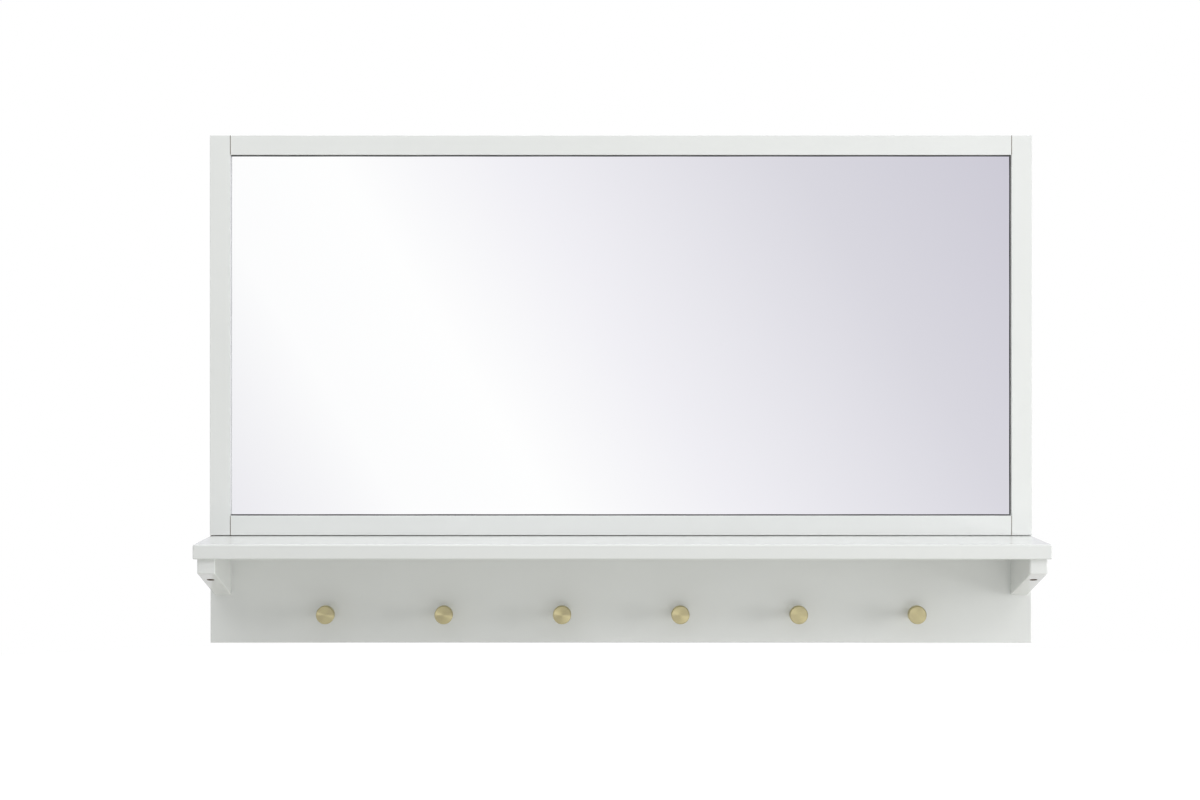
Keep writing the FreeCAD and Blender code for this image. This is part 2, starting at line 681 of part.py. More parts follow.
def build_screws():
    for label, bite, span, count, level in (
        ("peg_screws", "peg_screw_bite", peg_span, PEG_COUNT, f"{foot} + peg_height"),
        (
            "shelf_screws",
            "shelf_screw_bite",
            shelf_screw_span,
            SHELF_SCREW_COUNT,
            f"{shelf_underside} + shelf_thickness / 2",
        ),
        (
            "bracket_rear_screws",
            "bracket_rear_bite",
            bracket_span,
            PAIR,
            f"{shelf_underside} - bracket_rear_drop",
        ),
    ):
        screws = crowned_screw(label, "screw_head", f"({board_grip} + {bite})")
        spread(screws, [], "X_Axis", span, count)
        place(screws, f"-{span} / 2", "-counterbore_depth", level)

    bracket_screws = crowned_screw(
        "bracket_screws", "bracket_screw_head", "(bracket_seat + bracket_screw_bite)"
    )
    spread(bracket_screws, [], "X_Axis", bracket_span, PAIR)
    bracket_screws.Placement.Rotation = FreeCAD.Rotation(FreeCAD.Vector(1, 0, 0), -90)
    place(
        bracket_screws,
        f"-{bracket_span} / 2",
        f"-board_thickness - {bracket_screw_front}",
        f"{shelf_underside} - bracket_seat",
    )


# Hangers: a steel keyhole plate flush with the back of each stile, with room behind it for the head of
# the wall screw, held by two countersunk screws.
def build_hangers():
    plate = new_body("left_hanger_plate")
    high_screw = "keyhole_rise + plate_screw_offset"
    blank = sketch_on(plate, "plate_blank", "XZ_Plane")
    upright_slot(blank, "0", "-plate_screw_offset", high_screw, "plate_width")
    pad(plate, blank, "plate_thickness")
    entry = sketch_on(plate, "keyhole_entry_hole", "XZ_Plane")
    circle(entry, "0", "0", "keyhole_entry")
    pocket(plate, entry, "plate_thickness", along_normal=True)
    slot = sketch_on(plate, "keyhole_slot_hole", "XZ_Plane")
    upright_slot(slot, "0", "0", "keyhole_rise", "keyhole_slot")
    pocket(plate, slot, "plate_thickness", along_normal=True)
    for name, level in (("low_countersink", "-plate_screw_offset"), ("high_countersink", high_screw)):
        sketch = sketch_on(plate, name, "YZ_Plane")
        outline(
            sketch,
            [
                ("0", level),
                ("0", f"{level} + plate_screw_head / 2 + screw_gap"),
                ("-plate_thickness", f"{level} + plate_screw_diameter / 2 + screw_gap"),
                ("-plate_thickness", level),
            ],
        )
        groove = plate.newObject("PartDesign::Groove", f"{name}_cut")
        groove.Profile = sketch
        groove.ReferenceAxis = (sketch, ["Edge4"])
        groove.Angle = 360
        doc.recompute()
    place(plate, f"{hanger_offset} - overall_width / 2")
    mirrored_twin("right_hanger_plate", plate)

    screws = new_body("hanger_screws")
    turned(
        screws,
        [
            ("0", "0"),
            ("plate_screw_head / 2", "0"),
            ("plate_screw_diameter / 2", "-plate_thickness"),
            ("plate_screw_diameter / 2", "plate_screw_point - plate_screw_length"),
            ("0", "-plate_screw_length"),
        ],
    )
    screw_rise = "keyhole_rise + 2 * plate_screw_offset"
    spread(screws, [], "X_Axis", hanger_span, PAIR, "Z_Axis", screw_rise, PAIR)
    place(screws, f"-{hanger_span} / 2", "0", "-plate_screw_offset")


build_stiles()
build_rails()
build_dowels()
build_mirror()
build_framer_points()
build_peg_board()
build_shelf()
build_brackets()
build_pegs()
build_screws()
build_hangers()
doc.recompute()

for feature in doc.Objects:
    if {"Invalid", "Error"} & set(feature.State):
        raise RuntimeError(f"{feature.Label} failed: {feature.State}")
for sub_part in sub_parts:
    if sub_part.Shape.isNull() or not sub_part.Shape.isValid():
        raise RuntimeError(f"{sub_part.Label} has no valid shape")

os.makedirs("parts", exist_ok=True)
for sub_part in sub_parts:
    sub_part.Shape.exportStep(f"parts/{sub_part.Label}.step")
    box = sub_part.Shape.BoundBox
    print(
        f"{sub_part.Label}: {len(sub_part.Shape.Solids)} solids, "
        f"{box.XLength:.1f} x {box.YLength:.1f} x {box.ZLength:.1f} mm, {sub_part.Shape.Volume:.0f} mm3"
    )
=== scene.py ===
import math

import bmesh
import bpy
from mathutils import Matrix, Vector


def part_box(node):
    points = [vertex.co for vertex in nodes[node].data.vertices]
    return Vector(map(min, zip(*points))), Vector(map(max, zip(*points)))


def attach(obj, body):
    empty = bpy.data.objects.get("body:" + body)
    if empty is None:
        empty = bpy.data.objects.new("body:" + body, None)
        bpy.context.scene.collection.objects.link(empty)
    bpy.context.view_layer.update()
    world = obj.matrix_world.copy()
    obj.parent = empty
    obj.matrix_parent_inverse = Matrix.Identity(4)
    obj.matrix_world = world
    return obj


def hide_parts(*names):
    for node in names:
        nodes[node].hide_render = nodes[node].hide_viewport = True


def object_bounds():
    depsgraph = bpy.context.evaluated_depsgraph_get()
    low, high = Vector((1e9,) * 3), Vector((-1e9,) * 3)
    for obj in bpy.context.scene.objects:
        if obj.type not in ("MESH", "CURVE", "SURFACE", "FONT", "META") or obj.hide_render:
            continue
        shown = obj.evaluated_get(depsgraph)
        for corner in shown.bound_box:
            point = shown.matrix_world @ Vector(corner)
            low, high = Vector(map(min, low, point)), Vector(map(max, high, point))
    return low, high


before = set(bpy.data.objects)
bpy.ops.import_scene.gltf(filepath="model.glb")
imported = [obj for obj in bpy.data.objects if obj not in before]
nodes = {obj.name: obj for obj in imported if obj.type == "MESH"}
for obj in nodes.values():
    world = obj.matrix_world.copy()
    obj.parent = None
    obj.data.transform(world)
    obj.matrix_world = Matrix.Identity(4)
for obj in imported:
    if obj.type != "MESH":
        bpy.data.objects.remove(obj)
cad_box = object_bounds()
scene = bpy.context.scene
scene.view_settings.view_transform = "Standard"


# Stiles and rails: four square-edged bars of wood, butted and dowelled at the corners, that frame the
# mirror. They are sprayed with white semi-gloss lacquer, which dries with a fine peel; the backs, which
# face the wall, get one thin coat that stays duller.
def add(tree, kind, inputs=None, **settings):
    """A node with its settings, and with its inputs set to values or linked to other nodes' sockets."""
    made = tree.nodes.new(kind)
    for name, setting in settings.items():
        setattr(made, name, setting)
    for name, source in (inputs or {}).items():
        if isinstance(source, bpy.types.NodeSocket):
            tree.links.new(source, made.inputs[name])
        else:
            made.inputs[name].default_value = source
    return made


def calculate(tree, operation, *values):
    """The result of one sum on values or sockets."""
    return add(tree, "ShaderNodeMath", dict(enumerate(values)), operation=operation).outputs[0]


def mix_colours(tree, share, first, second):
    """The first colour turning into the second as share goes from 0 to 1."""
    inputs = {"Factor": share, 6: first, 7: second}
    return add(tree, "ShaderNodeMix", inputs, data_type="RGBA").outputs[2]


def spread_over(tree, source, low, high, least=0.0, most=1.0):
    """A value between low and high, stretched to run from least to most and held there beyond."""
    inputs = {"Value": source, "From Min": low, "From Max": high, "To Min": least, "To Max": most}
    return add(tree, "ShaderNodeMapRange", inputs).outputs["Result"]


def new_group(name, kind, inputs, outputs):
    """An empty node group with named sockets, and its two end nodes."""
    tree = bpy.data.node_groups.new(name, kind)
    for label, socket_kind in inputs.items():
        tree.interface.new_socket(label, in_out="INPUT", socket_type=socket_kind)
    for label, socket_kind in outputs.items():
        tree.interface.new_socket(label, in_out="OUTPUT", socket_type=socket_kind)
    return tree, add(tree, "NodeGroupInput").outputs, add(tree, "NodeGroupOutput")


MM_PER_METRE = 1000.0
PATCH_DETAIL = 3.0
PATCH_CONTRAST = (0.3, 0.7)


def cloudy_patches_group():
    """Soft patches of the given width in millimetres, with values from Least to Most."""
    tree, given, result = new_group(
        "cloudy_patches",
        "ShaderNodeTree",
        {
            "Vector": "NodeSocketVector",
            "Width": "NodeSocketFloat",
            "Least": "NodeSocketFloat",
            "Most": "NodeSocketFloat",
        },
        {"Value": "NodeSocketFloat"},
    )
    scale = calculate(tree, "DIVIDE", MM_PER_METRE, given["Width"])
    inputs = {"Vector": given["Vector"], "Scale": scale, "Detail": PATCH_DETAIL}
    noise = add(tree, "ShaderNodeTexNoise", inputs).outputs["Fac"]
    cloud = spread_over(tree, noise, *PATCH_CONTRAST, given["Least"], given["Most"])
    tree.links.new(cloud, result.inputs["Value"])
    return tree


cloudy_patches = cloudy_patches_group()


def patches(tree, place, width, least, most):
    """Cloudy patches in a material, width in millimetres."""
    group = add(tree, "ShaderNodeGroup", node_tree=cloudy_patches)
    tree.links.new(place, group.inputs["Vector"])
    for name, number in (("Width", width), ("Least", least), ("Most", most)):
        group.inputs[name].default_value = number
    return group.outputs["Value"]


def new_finish(name, **sockets):
    """A material with its Principled shader's plain sockets set; gives it, its tree, shader and place."""
    finish = bpy.data.materials.new(name)
    finish.use_nodes = True
    tree = finish.node_tree
    shader = tree.nodes["Principled BSDF"]
    for label, number in sockets.items():
        shader.inputs[label.replace("_", " ")].default_value = number
    place = add(tree, "ShaderNodeTexCoord").outputs["Object"]
    return finish, tree, shader, place


def raise_by(tree, shader, height, strength, depth):
    """Bump on a shader from a height, with the depth in metres."""
    bump = add(tree, "ShaderNodeBump", {"Strength": strength, "Distance": depth, "Height": height})
    tree.links.new(bump.outputs["Normal"], shader.inputs["Normal"])


CUT_FADE_MM = 0.1


def near_cut_group():
    """A mask along a saw cut or a bore: 1 within Reach millimetres of Centre, measured Across only."""
    tree, given, result = new_group(
        "near_cut",
        "ShaderNodeTree",
        {
            "Vector": "NodeSocketVector",
            "Centre": "NodeSocketVector",
            "Across": "NodeSocketVector",
            "Reach": "NodeSocketFloat",
        },
        {"Mask": "NodeSocketFloat"},
    )
    away = add(
        tree, "ShaderNodeVectorMath", {0: given["Vector"], 1: given["Centre"]}, operation="SUBTRACT"
    ).outputs[0]
    flat = add(tree, "ShaderNodeVectorMath", {0: away, 1: given["Across"]}, operation="MULTIPLY").outputs[0]
    distance = add(tree, "ShaderNodeVectorMath", {0: flat}, operation="LENGTH").outputs["Value"]
    millimetres = calculate(tree, "MULTIPLY", distance, MM_PER_METRE)
    beyond = calculate(tree, "SUBTRACT", millimetres, given["Reach"])
    tree.links.new(spread_over(tree, beyond, 0.0, CUT_FADE_MM, 1.0, 0.0), result.inputs["Mask"])
    return tree


near_cut = near_cut_group()


def cut_mask(tree, place, centre, across, reach):
    """A near_cut mask in a material, centre in metres and reach in millimetres."""
    group = add(tree, "ShaderNodeGroup", node_tree=near_cut)
    tree.links.new(place, group.inputs["Vector"])
    for name, number in (("Centre", centre), ("Across", across), ("Reach", reach)):
        group.inputs[name].default_value = number
    return group.outputs["Mask"]


LACQUER_TONES = ((0.808, 0.820, 0.806, 1), (0.822, 0.834, 0.820, 1))
LACQUER_CLOUD_MM = 110.0
LACQUER_ROUGHNESS = (0.12, 0.14)
GLOSS_CLOUD_MM = 40.0
PEEL_WIDTH_MM, PEEL_STRENGTH, PEEL_DEPTH = 2.4, 0.0015, 0.0004
THIN_COAT_TONE = (0.735, 0.728, 0.692, 1)
THIN_COAT_STARTS, THIN_COAT_FULL = -0.0009, -0.0002
THIN_COAT_CLOUD_MM = 60.0
THIN_COAT_COVER = (0.75, 1.0)
THIN_COAT_DULLER, CUT_WOOD_DULLER = 0.3, 0.5
# Bare wood in cuts, bores and joints, darkened well below bare wood as painted shade.
CUT_WOOD_SHADE_TONES = ((0.10, 0.066, 0.042, 1), (0.19, 0.130, 0.084, 1))
CUT_WOOD_GRAIN_MM = 1.5


def white_lacquer_finish(name, bare_and_shaded):
    """White lacquer; the mask function gives cut faces that the spray doesn't reach, and joints painted
    dark as shade.
    """
    lacquer, tree, shader, place = new_finish(name, IOR=1.48)
    tone = mix_colours(tree, patches(tree, place, LACQUER_CLOUD_MM, 0.0, 1.0), *LACQUER_TONES)
    depth = add(tree, "ShaderNodeSeparateXYZ", {"Vector": place}).outputs["Y"]
    back = spread_over(tree, depth, THIN_COAT_STARTS, THIN_COAT_FULL)
    cover = patches(tree, place, THIN_COAT_CLOUD_MM, *THIN_COAT_COVER)
    thin_coat = calculate(tree, "MULTIPLY", back, cover)
    coated = mix_colours(tree, thin_coat, tone, THIN_COAT_TONE)
    # Cut faces and joints take the dark bare-wood tone, which paints shade into them.
    bare = bare_and_shaded(tree, place)
    cut_tone_and_shade = mix_colours(tree, patches(tree, place, CUT_WOOD_GRAIN_MM, 0.0, 1.0), *CUT_WOOD_SHADE_TONES)
    tree.links.new(mix_colours(tree, bare, coated, cut_tone_and_shade), shader.inputs["Base Color"])
    gloss = patches(tree, place, GLOSS_CLOUD_MM, *LACQUER_ROUGHNESS)
    dulled = calculate(tree, "MULTIPLY_ADD", thin_coat, THIN_COAT_DULLER, gloss)
    roughness = calculate(tree, "MULTIPLY_ADD", bare, CUT_WOOD_DULLER, dulled)
    tree.links.new(roughness, shader.inputs["Roughness"])
    raise_by(tree, shader, patches(tree, place, PEEL_WIDTH_MM, 0.0, 1.0), PEEL_STRENGTH, PEEL_DEPTH)
    return lacquer


opening_left, opening_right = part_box("left_stile")[1].x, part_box("right_stile")[0].x
opening_low, opening_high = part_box("bottom_rail")[1].z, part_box("top_rail")[0].z
frame_front, frame_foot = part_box("bottom_rail")[0].y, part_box("bottom_rail")[0].z
SEAM_HALF_MM, SEAM_EASE = 0.3, 0.0004
# The dark in the slot between frame and shelf is painted shade, strongest on the left and faint on the
# right.
JOINT_HALF_MM, JOINT_BELOW_FRAME = 0.4, 0.0003
JOINT_STARTS, JOINT_DARK = 0.0003, 0.0006
JOINT_SHADE_FULL_TO, JOINT_SHADE_FAINT_FROM, JOINT_SHADE_LEAST = 0.10, 0.32, 0.15


def shelf_joint_shade_mask(tree, place):
    """The slot between frame and shelf, painted dark as shade: full on the left and middle, fading towards
    the lit right.
    """
    axes = add(tree, "ShaderNodeSeparateXYZ", {"Vector": place}).outputs
    level = cut_mask(tree, place, (0, 0, frame_foot - JOINT_BELOW_FRAME), (0, 0, 1), JOINT_HALF_MM)
    inside = spread_over(tree, axes["Y"], frame_front + JOINT_STARTS, frame_front + JOINT_DARK)
    painted_shade_strength = spread_over(tree, axes["X"], JOINT_SHADE_FULL_TO, JOINT_SHADE_FAINT_FROM, 1.0, JOINT_SHADE_LEAST)
    return calculate(tree, "MULTIPLY", calculate(tree, "MULTIPLY", level, inside), painted_shade_strength)


def frame_seam_mask(tree, place):
    """The hairline joints between stiles and rails, and the painted shade of the shelf joint at the frame's
    foot.
    """
    axes = add(tree, "ShaderNodeSeparateXYZ", {"Vector": place}).outputs
    both_sides = add(tree, "ShaderNodeVectorMath", {0: place}, operation="ABSOLUTE").outputs[0]
    seam = cut_mask(tree, both_sides, (opening_right, 0, 0), (1, 0, 0), SEAM_HALF_MM)
    middle, half = (opening_low + opening_high) / 2, (opening_high - opening_low) / 2
    height = calculate(tree, "ABSOLUTE", calculate(tree, "SUBTRACT", axes["Z"], middle))
    beside_rails = spread_over(tree, height, half, half + SEAM_EASE)
    seams = calculate(tree, "MULTIPLY", seam, beside_rails)
    return calculate(tree, "MAXIMUM", seams, shelf_joint_shade_mask(tree, place))


def coat(material, *names):
    """Give CAD pieces their finish."""
    for name in names:
        nodes[name].material_slots[0].material = material


# The frame's foot in the shelf joint is painted dark as shade.
coat(
    white_lacquer_finish("white_lacquer_frame", frame_seam_mask),
    "left_stile",
    "right_stile",
    "top_rail",
    "bottom_rail",
)


# Dowels: bare beech pins, turned, chamfered and glued into the corners of the frame and between the
# bottom rail and the peg board. They are hidden once the mirror is together.
BEECH_TONES = ((0.53, 0.36, 0.22, 1), (0.68, 0.50, 0.33, 1))
FLECK_WIDTH_MM, FLECK_STRENGTH, FLECK_DEPTH = 1.2, 0.2, 0.0002


def bare_beech_finish():
    beech, tree, shader, place = new_finish("bare_beech", Roughness=0.62)
    flecks = patches(tree, place, FLECK_WIDTH_MM, 0.0, 1.0)
    tree.links.new(mix_colours(tree, flecks, *BEECH_TONES), shader.inputs["Base Color"])
    raise_by(tree, shader, flecks, FLECK_STRENGTH, FLECK_DEPTH)
    return beech


coat(bare_beech_finish(), "frame_dowels", "board_dowels")


# Glazing tape: four strips of thin black foam tape, stuck by hand round the front edge of the glass so
# that it doesn't rattle behind the lip of the frame. Its black shows past the lip as painted shade, the
# shadow line round the mirror: wider at the top, right and bottom, and not at all on the lit left.
# How far the black tape shows past the lip on each side: a painted shade line, as wide as the shadow there.
SHADE_LINE_TAPE_WIDTHS = {"top": 0.00115, "right": 0.0013, "bottom": 0.00105, "left": 0.0}
TAPE_WANDERS, TAPE_PULL, TAPE_PHASE = 0.00005, 0.11, 40
TAPE_STEPS = 48
TAPE_EASE = 0.00012
TAPE_GAP = 0.0002
# The foam's black, where it shows past the lip, is painted shade.
FOAM_SHADE_TONES = ((0.008, 0.008, 0.009, 1), (0.022, 0.022, 0.024, 1))
FOAM_ROUGHNESS = (0.72, 0.9)
FOAM_CLOUD_MM = 4.0
PORE_WIDTH_MM, PORE_STRENGTH, PORE_DEPTH = 0.45, 0.4, 0.0001


def tape_strip(shell, outer, inner, along, across, back, front):
    """One strip, from outer to hand-laid inner edge; along is (axis, start, end), across is an axis."""
    length_axis, start, end = along
    inward = 1 if inner > outer else -1
    rings = []
    for step in range(TAPE_STEPS + 1):
        place = start + (end - start) * step / TAPE_STEPS
        wander = TAPE_WANDERS * math.sin(place / TAPE_PULL * 2 * math.pi + outer * TAPE_PHASE)
        edge = inner + inward * wander
        ring = []
        for side, depth in (
            (outer, back),
            (edge, back),
            (edge, front + TAPE_EASE),
            (edge - inward * TAPE_EASE, front),
            (outer, front),
        ):
            corner = [0.0, depth, 0.0]
            corner[length_axis] = place
            corner[across] = side
            ring.append(shell.verts.new(corner))
        rings.append(ring)
    for one, other in zip(rings, rings[1:]):
        for index in range(len(one)):
            following = (index + 1) % len(one)
            shell.faces.new((one[index], one[following], other[following], other[index]))
    shell.faces.new(rings[0])
    shell.faces.new(list(reversed(rings[-1])))


def new_piece(name, shell, material=None):
    """A piece from a bmesh, its faces turned outwards."""
    bmesh.ops.recalc_face_normals(shell, faces=shell.faces)
    mesh = bpy.data.meshes.new(name)
    shell.to_mesh(mesh)
    shell.free()
    piece = bpy.data.objects.new(name, mesh)
    scene.collection.objects.link(piece)
    if material:
        mesh.materials.append(material)
    return piece


def shade_line_foam_finish():
    foam, tree, shader, place = new_finish("black_foam_shade_line", Specular_IOR_Level=0.25)
    pores = patches(tree, place, PORE_WIDTH_MM, 0.0, 1.0)
    tree.links.new(mix_colours(tree, pores, *FOAM_SHADE_TONES), shader.inputs["Base Color"])
    tree.links.new(patches(tree, place, FOAM_CLOUD_MM, *FOAM_ROUGHNESS), shader.inputs["Roughness"])
    raise_by(tree, shader, pores, PORE_STRENGTH, PORE_DEPTH)
    return foam


tape_low, tape_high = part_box("glazing_tape")
strips = bmesh.new()
side_span = (2, opening_low + SHADE_LINE_TAPE_WIDTHS["bottom"] + TAPE_GAP, opening_high - SHADE_LINE_TAPE_WIDTHS["top"] - TAPE_GAP)
across_span = (0, tape_low.x, tape_high.x)
for outer, inner, along, across in (
    (tape_high.z, opening_high - SHADE_LINE_TAPE_WIDTHS["top"], across_span, 2),
    (tape_low.z, opening_low + SHADE_LINE_TAPE_WIDTHS["bottom"], across_span, 2),
    (tape_low.x, opening_left + SHADE_LINE_TAPE_WIDTHS["left"], side_span, 0),
    (tape_high.x, opening_right - SHADE_LINE_TAPE_WIDTHS["right"], side_span, 0),
):
    tape_strip(strips, outer, inner, along, across, tape_high.y, tape_low.y)
# The strips' black stands in for the shadow between lip and glass: painted shade.
glazing_strips = new_piece("glazing_strips", strips, shade_line_foam_finish())
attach(glazing_strips, "root")
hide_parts("glazing_tape")


# Mirror: a pane of silvered float glass with ground edges, held behind the lip. Its face is clean, with
# only the faintest unevenness left by wiping.
SILVER_TONES = ((0.988, 0.991, 0.992, 1), (0.996, 0.998, 0.998, 1))
SILVER_CLOUD_MM = 260.0
WIPED_ROUGHNESS = (0.004, 0.012)
WIPED_PATCH_MM = 70.0


def silvered_glass_finish():
    silver, tree, shader, place = new_finish("silvered_glass", Metallic=1.0)
    cloud = patches(tree, place, SILVER_CLOUD_MM, 0.0, 1.0)
    tree.links.new(mix_colours(tree, cloud, *SILVER_TONES), shader.inputs["Base Color"])
    tree.links.new(patches(tree, place, WIPED_PATCH_MM, *WIPED_ROUGHNESS), shader.inputs["Roughness"])
    return silver


coat(silvered_glass_finish(), "mirror_glass")


# Backing board: 3 mm brown hardboard behind the glass, smooth side in. The side that shows is pressed
# against a wire screen when it is made, which leaves rows of small dents.
SCREEN_PITCH, SCREEN_STRENGTH, SCREEN_DEPTH = 0.0016, 0.45, 0.0002
FIBRE_TONES = ((0.205, 0.122, 0.068, 1), (0.315, 0.200, 0.118, 1))
FIBRE_WIDTH_MM, FIBRE_RISE = 1.1, 0.8
SHEET_SHADES = ((0.88, 0.86, 0.82, 1), (1.0, 1.0, 1.0, 1))
SHEET_CLOUD_MM = 160.0
HARDBOARD_ROUGHNESS = (0.62, 0.8)
HARDBOARD_PATCH_MM = 6.0


def hardboard_finish():
    board, tree, shader, place = new_finish("hardboard", Specular_IOR_Level=0.3)
    fibres = patches(tree, place, FIBRE_WIDTH_MM, 0.0, 1.0)
    brown = mix_colours(tree, fibres, *FIBRE_TONES)
    shade = mix_colours(tree, patches(tree, place, SHEET_CLOUD_MM, 0.0, 1.0), *SHEET_SHADES)
    shaded = add(
        tree, "ShaderNodeMix", {"Factor": 1.0, 6: brown, 7: shade}, data_type="RGBA", blend_type="MULTIPLY"
    ).outputs[2]
    tree.links.new(shaded, shader.inputs["Base Color"])
    dull = patches(tree, place, HARDBOARD_PATCH_MM, *HARDBOARD_ROUGHNESS)
    tree.links.new(dull, shader.inputs["Roughness"])
    axes = add(tree, "ShaderNodeSeparateXYZ", {"Vector": place})
    waves = []
    for axis in ("X", "Z"):
        turn = calculate(tree, "MULTIPLY", axes.outputs[axis], 2 * math.pi / SCREEN_PITCH)
        waves.append(calculate(tree, "SINE", turn))
    dents = calculate(tree, "MULTIPLY", waves[0], waves[1])
    relief = calculate(tree, "MULTIPLY_ADD", fibres, FIBRE_RISE, dents)
    raise_by(tree, shader, relief, SCREEN_STRENGTH, SCREEN_DEPTH)
    return board


coat(hardboard_finish(), "backing_board")


# Framer's points: flat zinc-plated steel tabs, driven by a point gun into the rabbet's wall, that press
# the backing board and the glass against the lip. Their free ends are lifted a little.
POINT_LENGTH, POINT_GRIP, POINT_WIDTH, POINT_SHEET = 0.015, 0.005, 0.008, 0.0006
POINT_LIFT = 0.0007
POINT_INSET = 0.070
RAIL_POINTS, STILE_POINTS = 5, 3
TIP_SHARE, BODY_SHARE, CORNER_SHARE = 0.45, 0.5, 0.3
CORNER_STEPS = 5
LINE_DETAIL = 2.0
LINE_CONTRAST = (0.25, 0.75)
ZINC_TONES = ((0.53, 0.54, 0.56, 1), (0.68, 0.69, 0.70, 1))
SPANGLE_WIDTH_MM = 5.0
ZINC_ROUGHNESS = (0.28, 0.38)
ZINC_PATCH_MM = 9.0
SCRATCH_PITCH_MM, SCRATCH_DULLER = 0.35, 0.12
SCRATCH_STRENGTH, SCRATCH_DEPTH = 0.08, 0.0001


def fine_lines_group():
    """Thin lines of uneven strength across a coordinate, with the given pitch in millimetres."""
    tree, given, result = new_group(
        "fine_lines",
        "ShaderNodeTree",
        {"Across": "NodeSocketFloat", "Pitch": "NodeSocketFloat"},
        {"Lines": "NodeSocketFloat"},
    )
    millimetres = calculate(tree, "MULTIPLY", given["Across"], MM_PER_METRE)
    steps = calculate(tree, "DIVIDE", millimetres, given["Pitch"])
    inputs = {"W": steps, "Scale": 1.0, "Detail": LINE_DETAIL}
    noise = add(tree, "ShaderNodeTexNoise", inputs, noise_dimensions="1D").outputs["Fac"]
    tree.links.new(spread_over(tree, noise, *LINE_CONTRAST), result.inputs["Lines"])
    return tree


fine_lines = fine_lines_group()


def lines(tree, across, pitch):
    """Fine lines in a material, pitch in millimetres."""
    group = add(tree, "ShaderNodeGroup", node_tree=fine_lines)
    tree.links.new(across, group.inputs["Across"])
    group.inputs["Pitch"].default_value = pitch
    return group.outputs["Lines"]


def zinc_steel_finish():
    zinc, tree, shader, place = new_finish("zinc_steel", Metallic=1.0)
    axes = add(tree, "ShaderNodeSeparateXYZ", {"Vector": place})
    scratches = lines(tree, axes.outputs["X"], SCRATCH_PITCH_MM)
    spangle = patches(tree, place, SPANGLE_WIDTH_MM, 0.0, 1.0)
    tree.links.new(mix_colours(tree, spangle, *ZINC_TONES), shader.inputs["Base Color"])
    plain = patches(tree, place, ZINC_PATCH_MM, *ZINC_ROUGHNESS)
    worn = calculate(tree, "MULTIPLY_ADD", scratches, SCRATCH_DULLER, plain)
    tree.links.new(worn, shader.inputs["Roughness"])
    raise_by(tree, shader, scratches, SCRATCH_STRENGTH, SCRATCH_DEPTH)
    return zinc


zinc_steel = zinc_steel_finish()


def framer_point():
    """One point along +X: a sharp tip in the wood, a flat body, and a rounded end that lifts."""
    reach = POINT_LENGTH - POINT_GRIP
    half = POINT_WIDTH / 2
    corner = POINT_WIDTH * CORNER_SHARE
    outline = [(-POINT_GRIP, 0.0), (-POINT_GRIP * TIP_SHARE, half), (reach * BODY_SHARE, half)]
    for step in range(CORNER_STEPS + 1):
        turn = math.radians(90 - 90 * step / CORNER_STEPS)
        outline.append((reach - corner + corner * math.cos(turn), half - corner + corner * math.sin(turn)))
    outline += [(x, -side) for x, side in reversed(outline) if side > 0]
    shell = bmesh.new()
    layers = []
    for depth in (0.0, POINT_SHEET):
        layer = []
        for x, side in outline:
            lift = POINT_LIFT * max(0.0, x / reach) ** 2
            layer.append(shell.verts.new((x, depth + lift, side)))
        layers.append(layer)
    for index in range(len(outline)):
        following = (index + 1) % len(outline)
        shell.faces.new((layers[0][index], layers[0][following], layers[1][following], layers[1][index]))
    shell.faces.new(list(reversed(layers[0])))
    shell.faces.new(layers[1])
    return new_piece("one_framer_point", shell)


def on_spots_tree():
    """Puts one shape on each spot, turned as the spot's own turn says."""
    tree, given, result = new_group(
        "shape_on_spots",
        "GeometryNodeTree",
        {"Spots": "NodeSocketGeometry", "Shape": "NodeSocketObject", "Finish": "NodeSocketMaterial"},
        {"Geometry": "NodeSocketGeometry"},
    )
    shape = add(tree, "GeometryNodeObjectInfo", {"Object": given["Shape"]}).outputs["Geometry"]
    set_on_spots(tree, given, shape, result)
    return tree


def set_on_spots(tree, given, shape, result):
    """The end of a tree: shape on the spots, made real, with its finish."""
    turn = add(tree, "GeometryNodeInputNamedAttribute", {"Name": "turn"}, data_type="FLOAT_VECTOR")
    turned = add(tree, "FunctionNodeEulerToRotation", {"Euler": turn.outputs["Attribute"]}).outputs[0]
    inputs = {"Points": given["Spots"], "Instance": shape, "Rotation": turned}
    copies = add(tree, "GeometryNodeInstanceOnPoints", inputs).outputs[0]
    real = add(tree, "GeometryNodeRealizeInstances", {"Geometry": copies}).outputs[0]
    done = add(tree, "GeometryNodeSetMaterial", {"Geometry": real, "Material": given["Finish"]}).outputs[0]
    tree.links.new(done, result.inputs["Geometry"])


def set_pieces(name, tree, spots, values):
    """A plain mesh from a tree, on spots given as (place, turn); values go to the tree's named inputs."""
    mesh = bpy.data.meshes.new(name)
    mesh.from_pydata([place for place, turn in spots], [], [])
    turns = mesh.attributes.new("turn", "FLOAT_VECTOR", "POINT")
    for index, (place, turn) in enumerate(spots):
        turns.data[index].vector = turn
    holder = bpy.data.objects.new(name + "_spots", mesh)
    scene.collection.objects.link(holder)
    modifier = holder.modifiers.new("pieces", "NODES")
    modifier.node_group = tree
    for socket in tree.interface.items_tree:
        if socket.in_out == "INPUT" and socket.name in values:
            modifier[socket.identifier] = values[socket.name]
    depsgraph = bpy.context.evaluated_depsgraph_get()
    made = bpy.data.meshes.new_from_object(
        holder.evaluated_get(depsgraph), preserve_all_data_layers=True, depsgraph=depsgraph
    )
    bpy.data.objects.remove(holder)
    made.name = name
    piece = bpy.data.objects.new(name, made)
    scene.collection.objects.link(piece)
    return piece


def evenly(low, high, count):
    """Places from low to high, evenly spaced."""
    return [low + (high - low) * index / (count - 1) for index in range(count)]


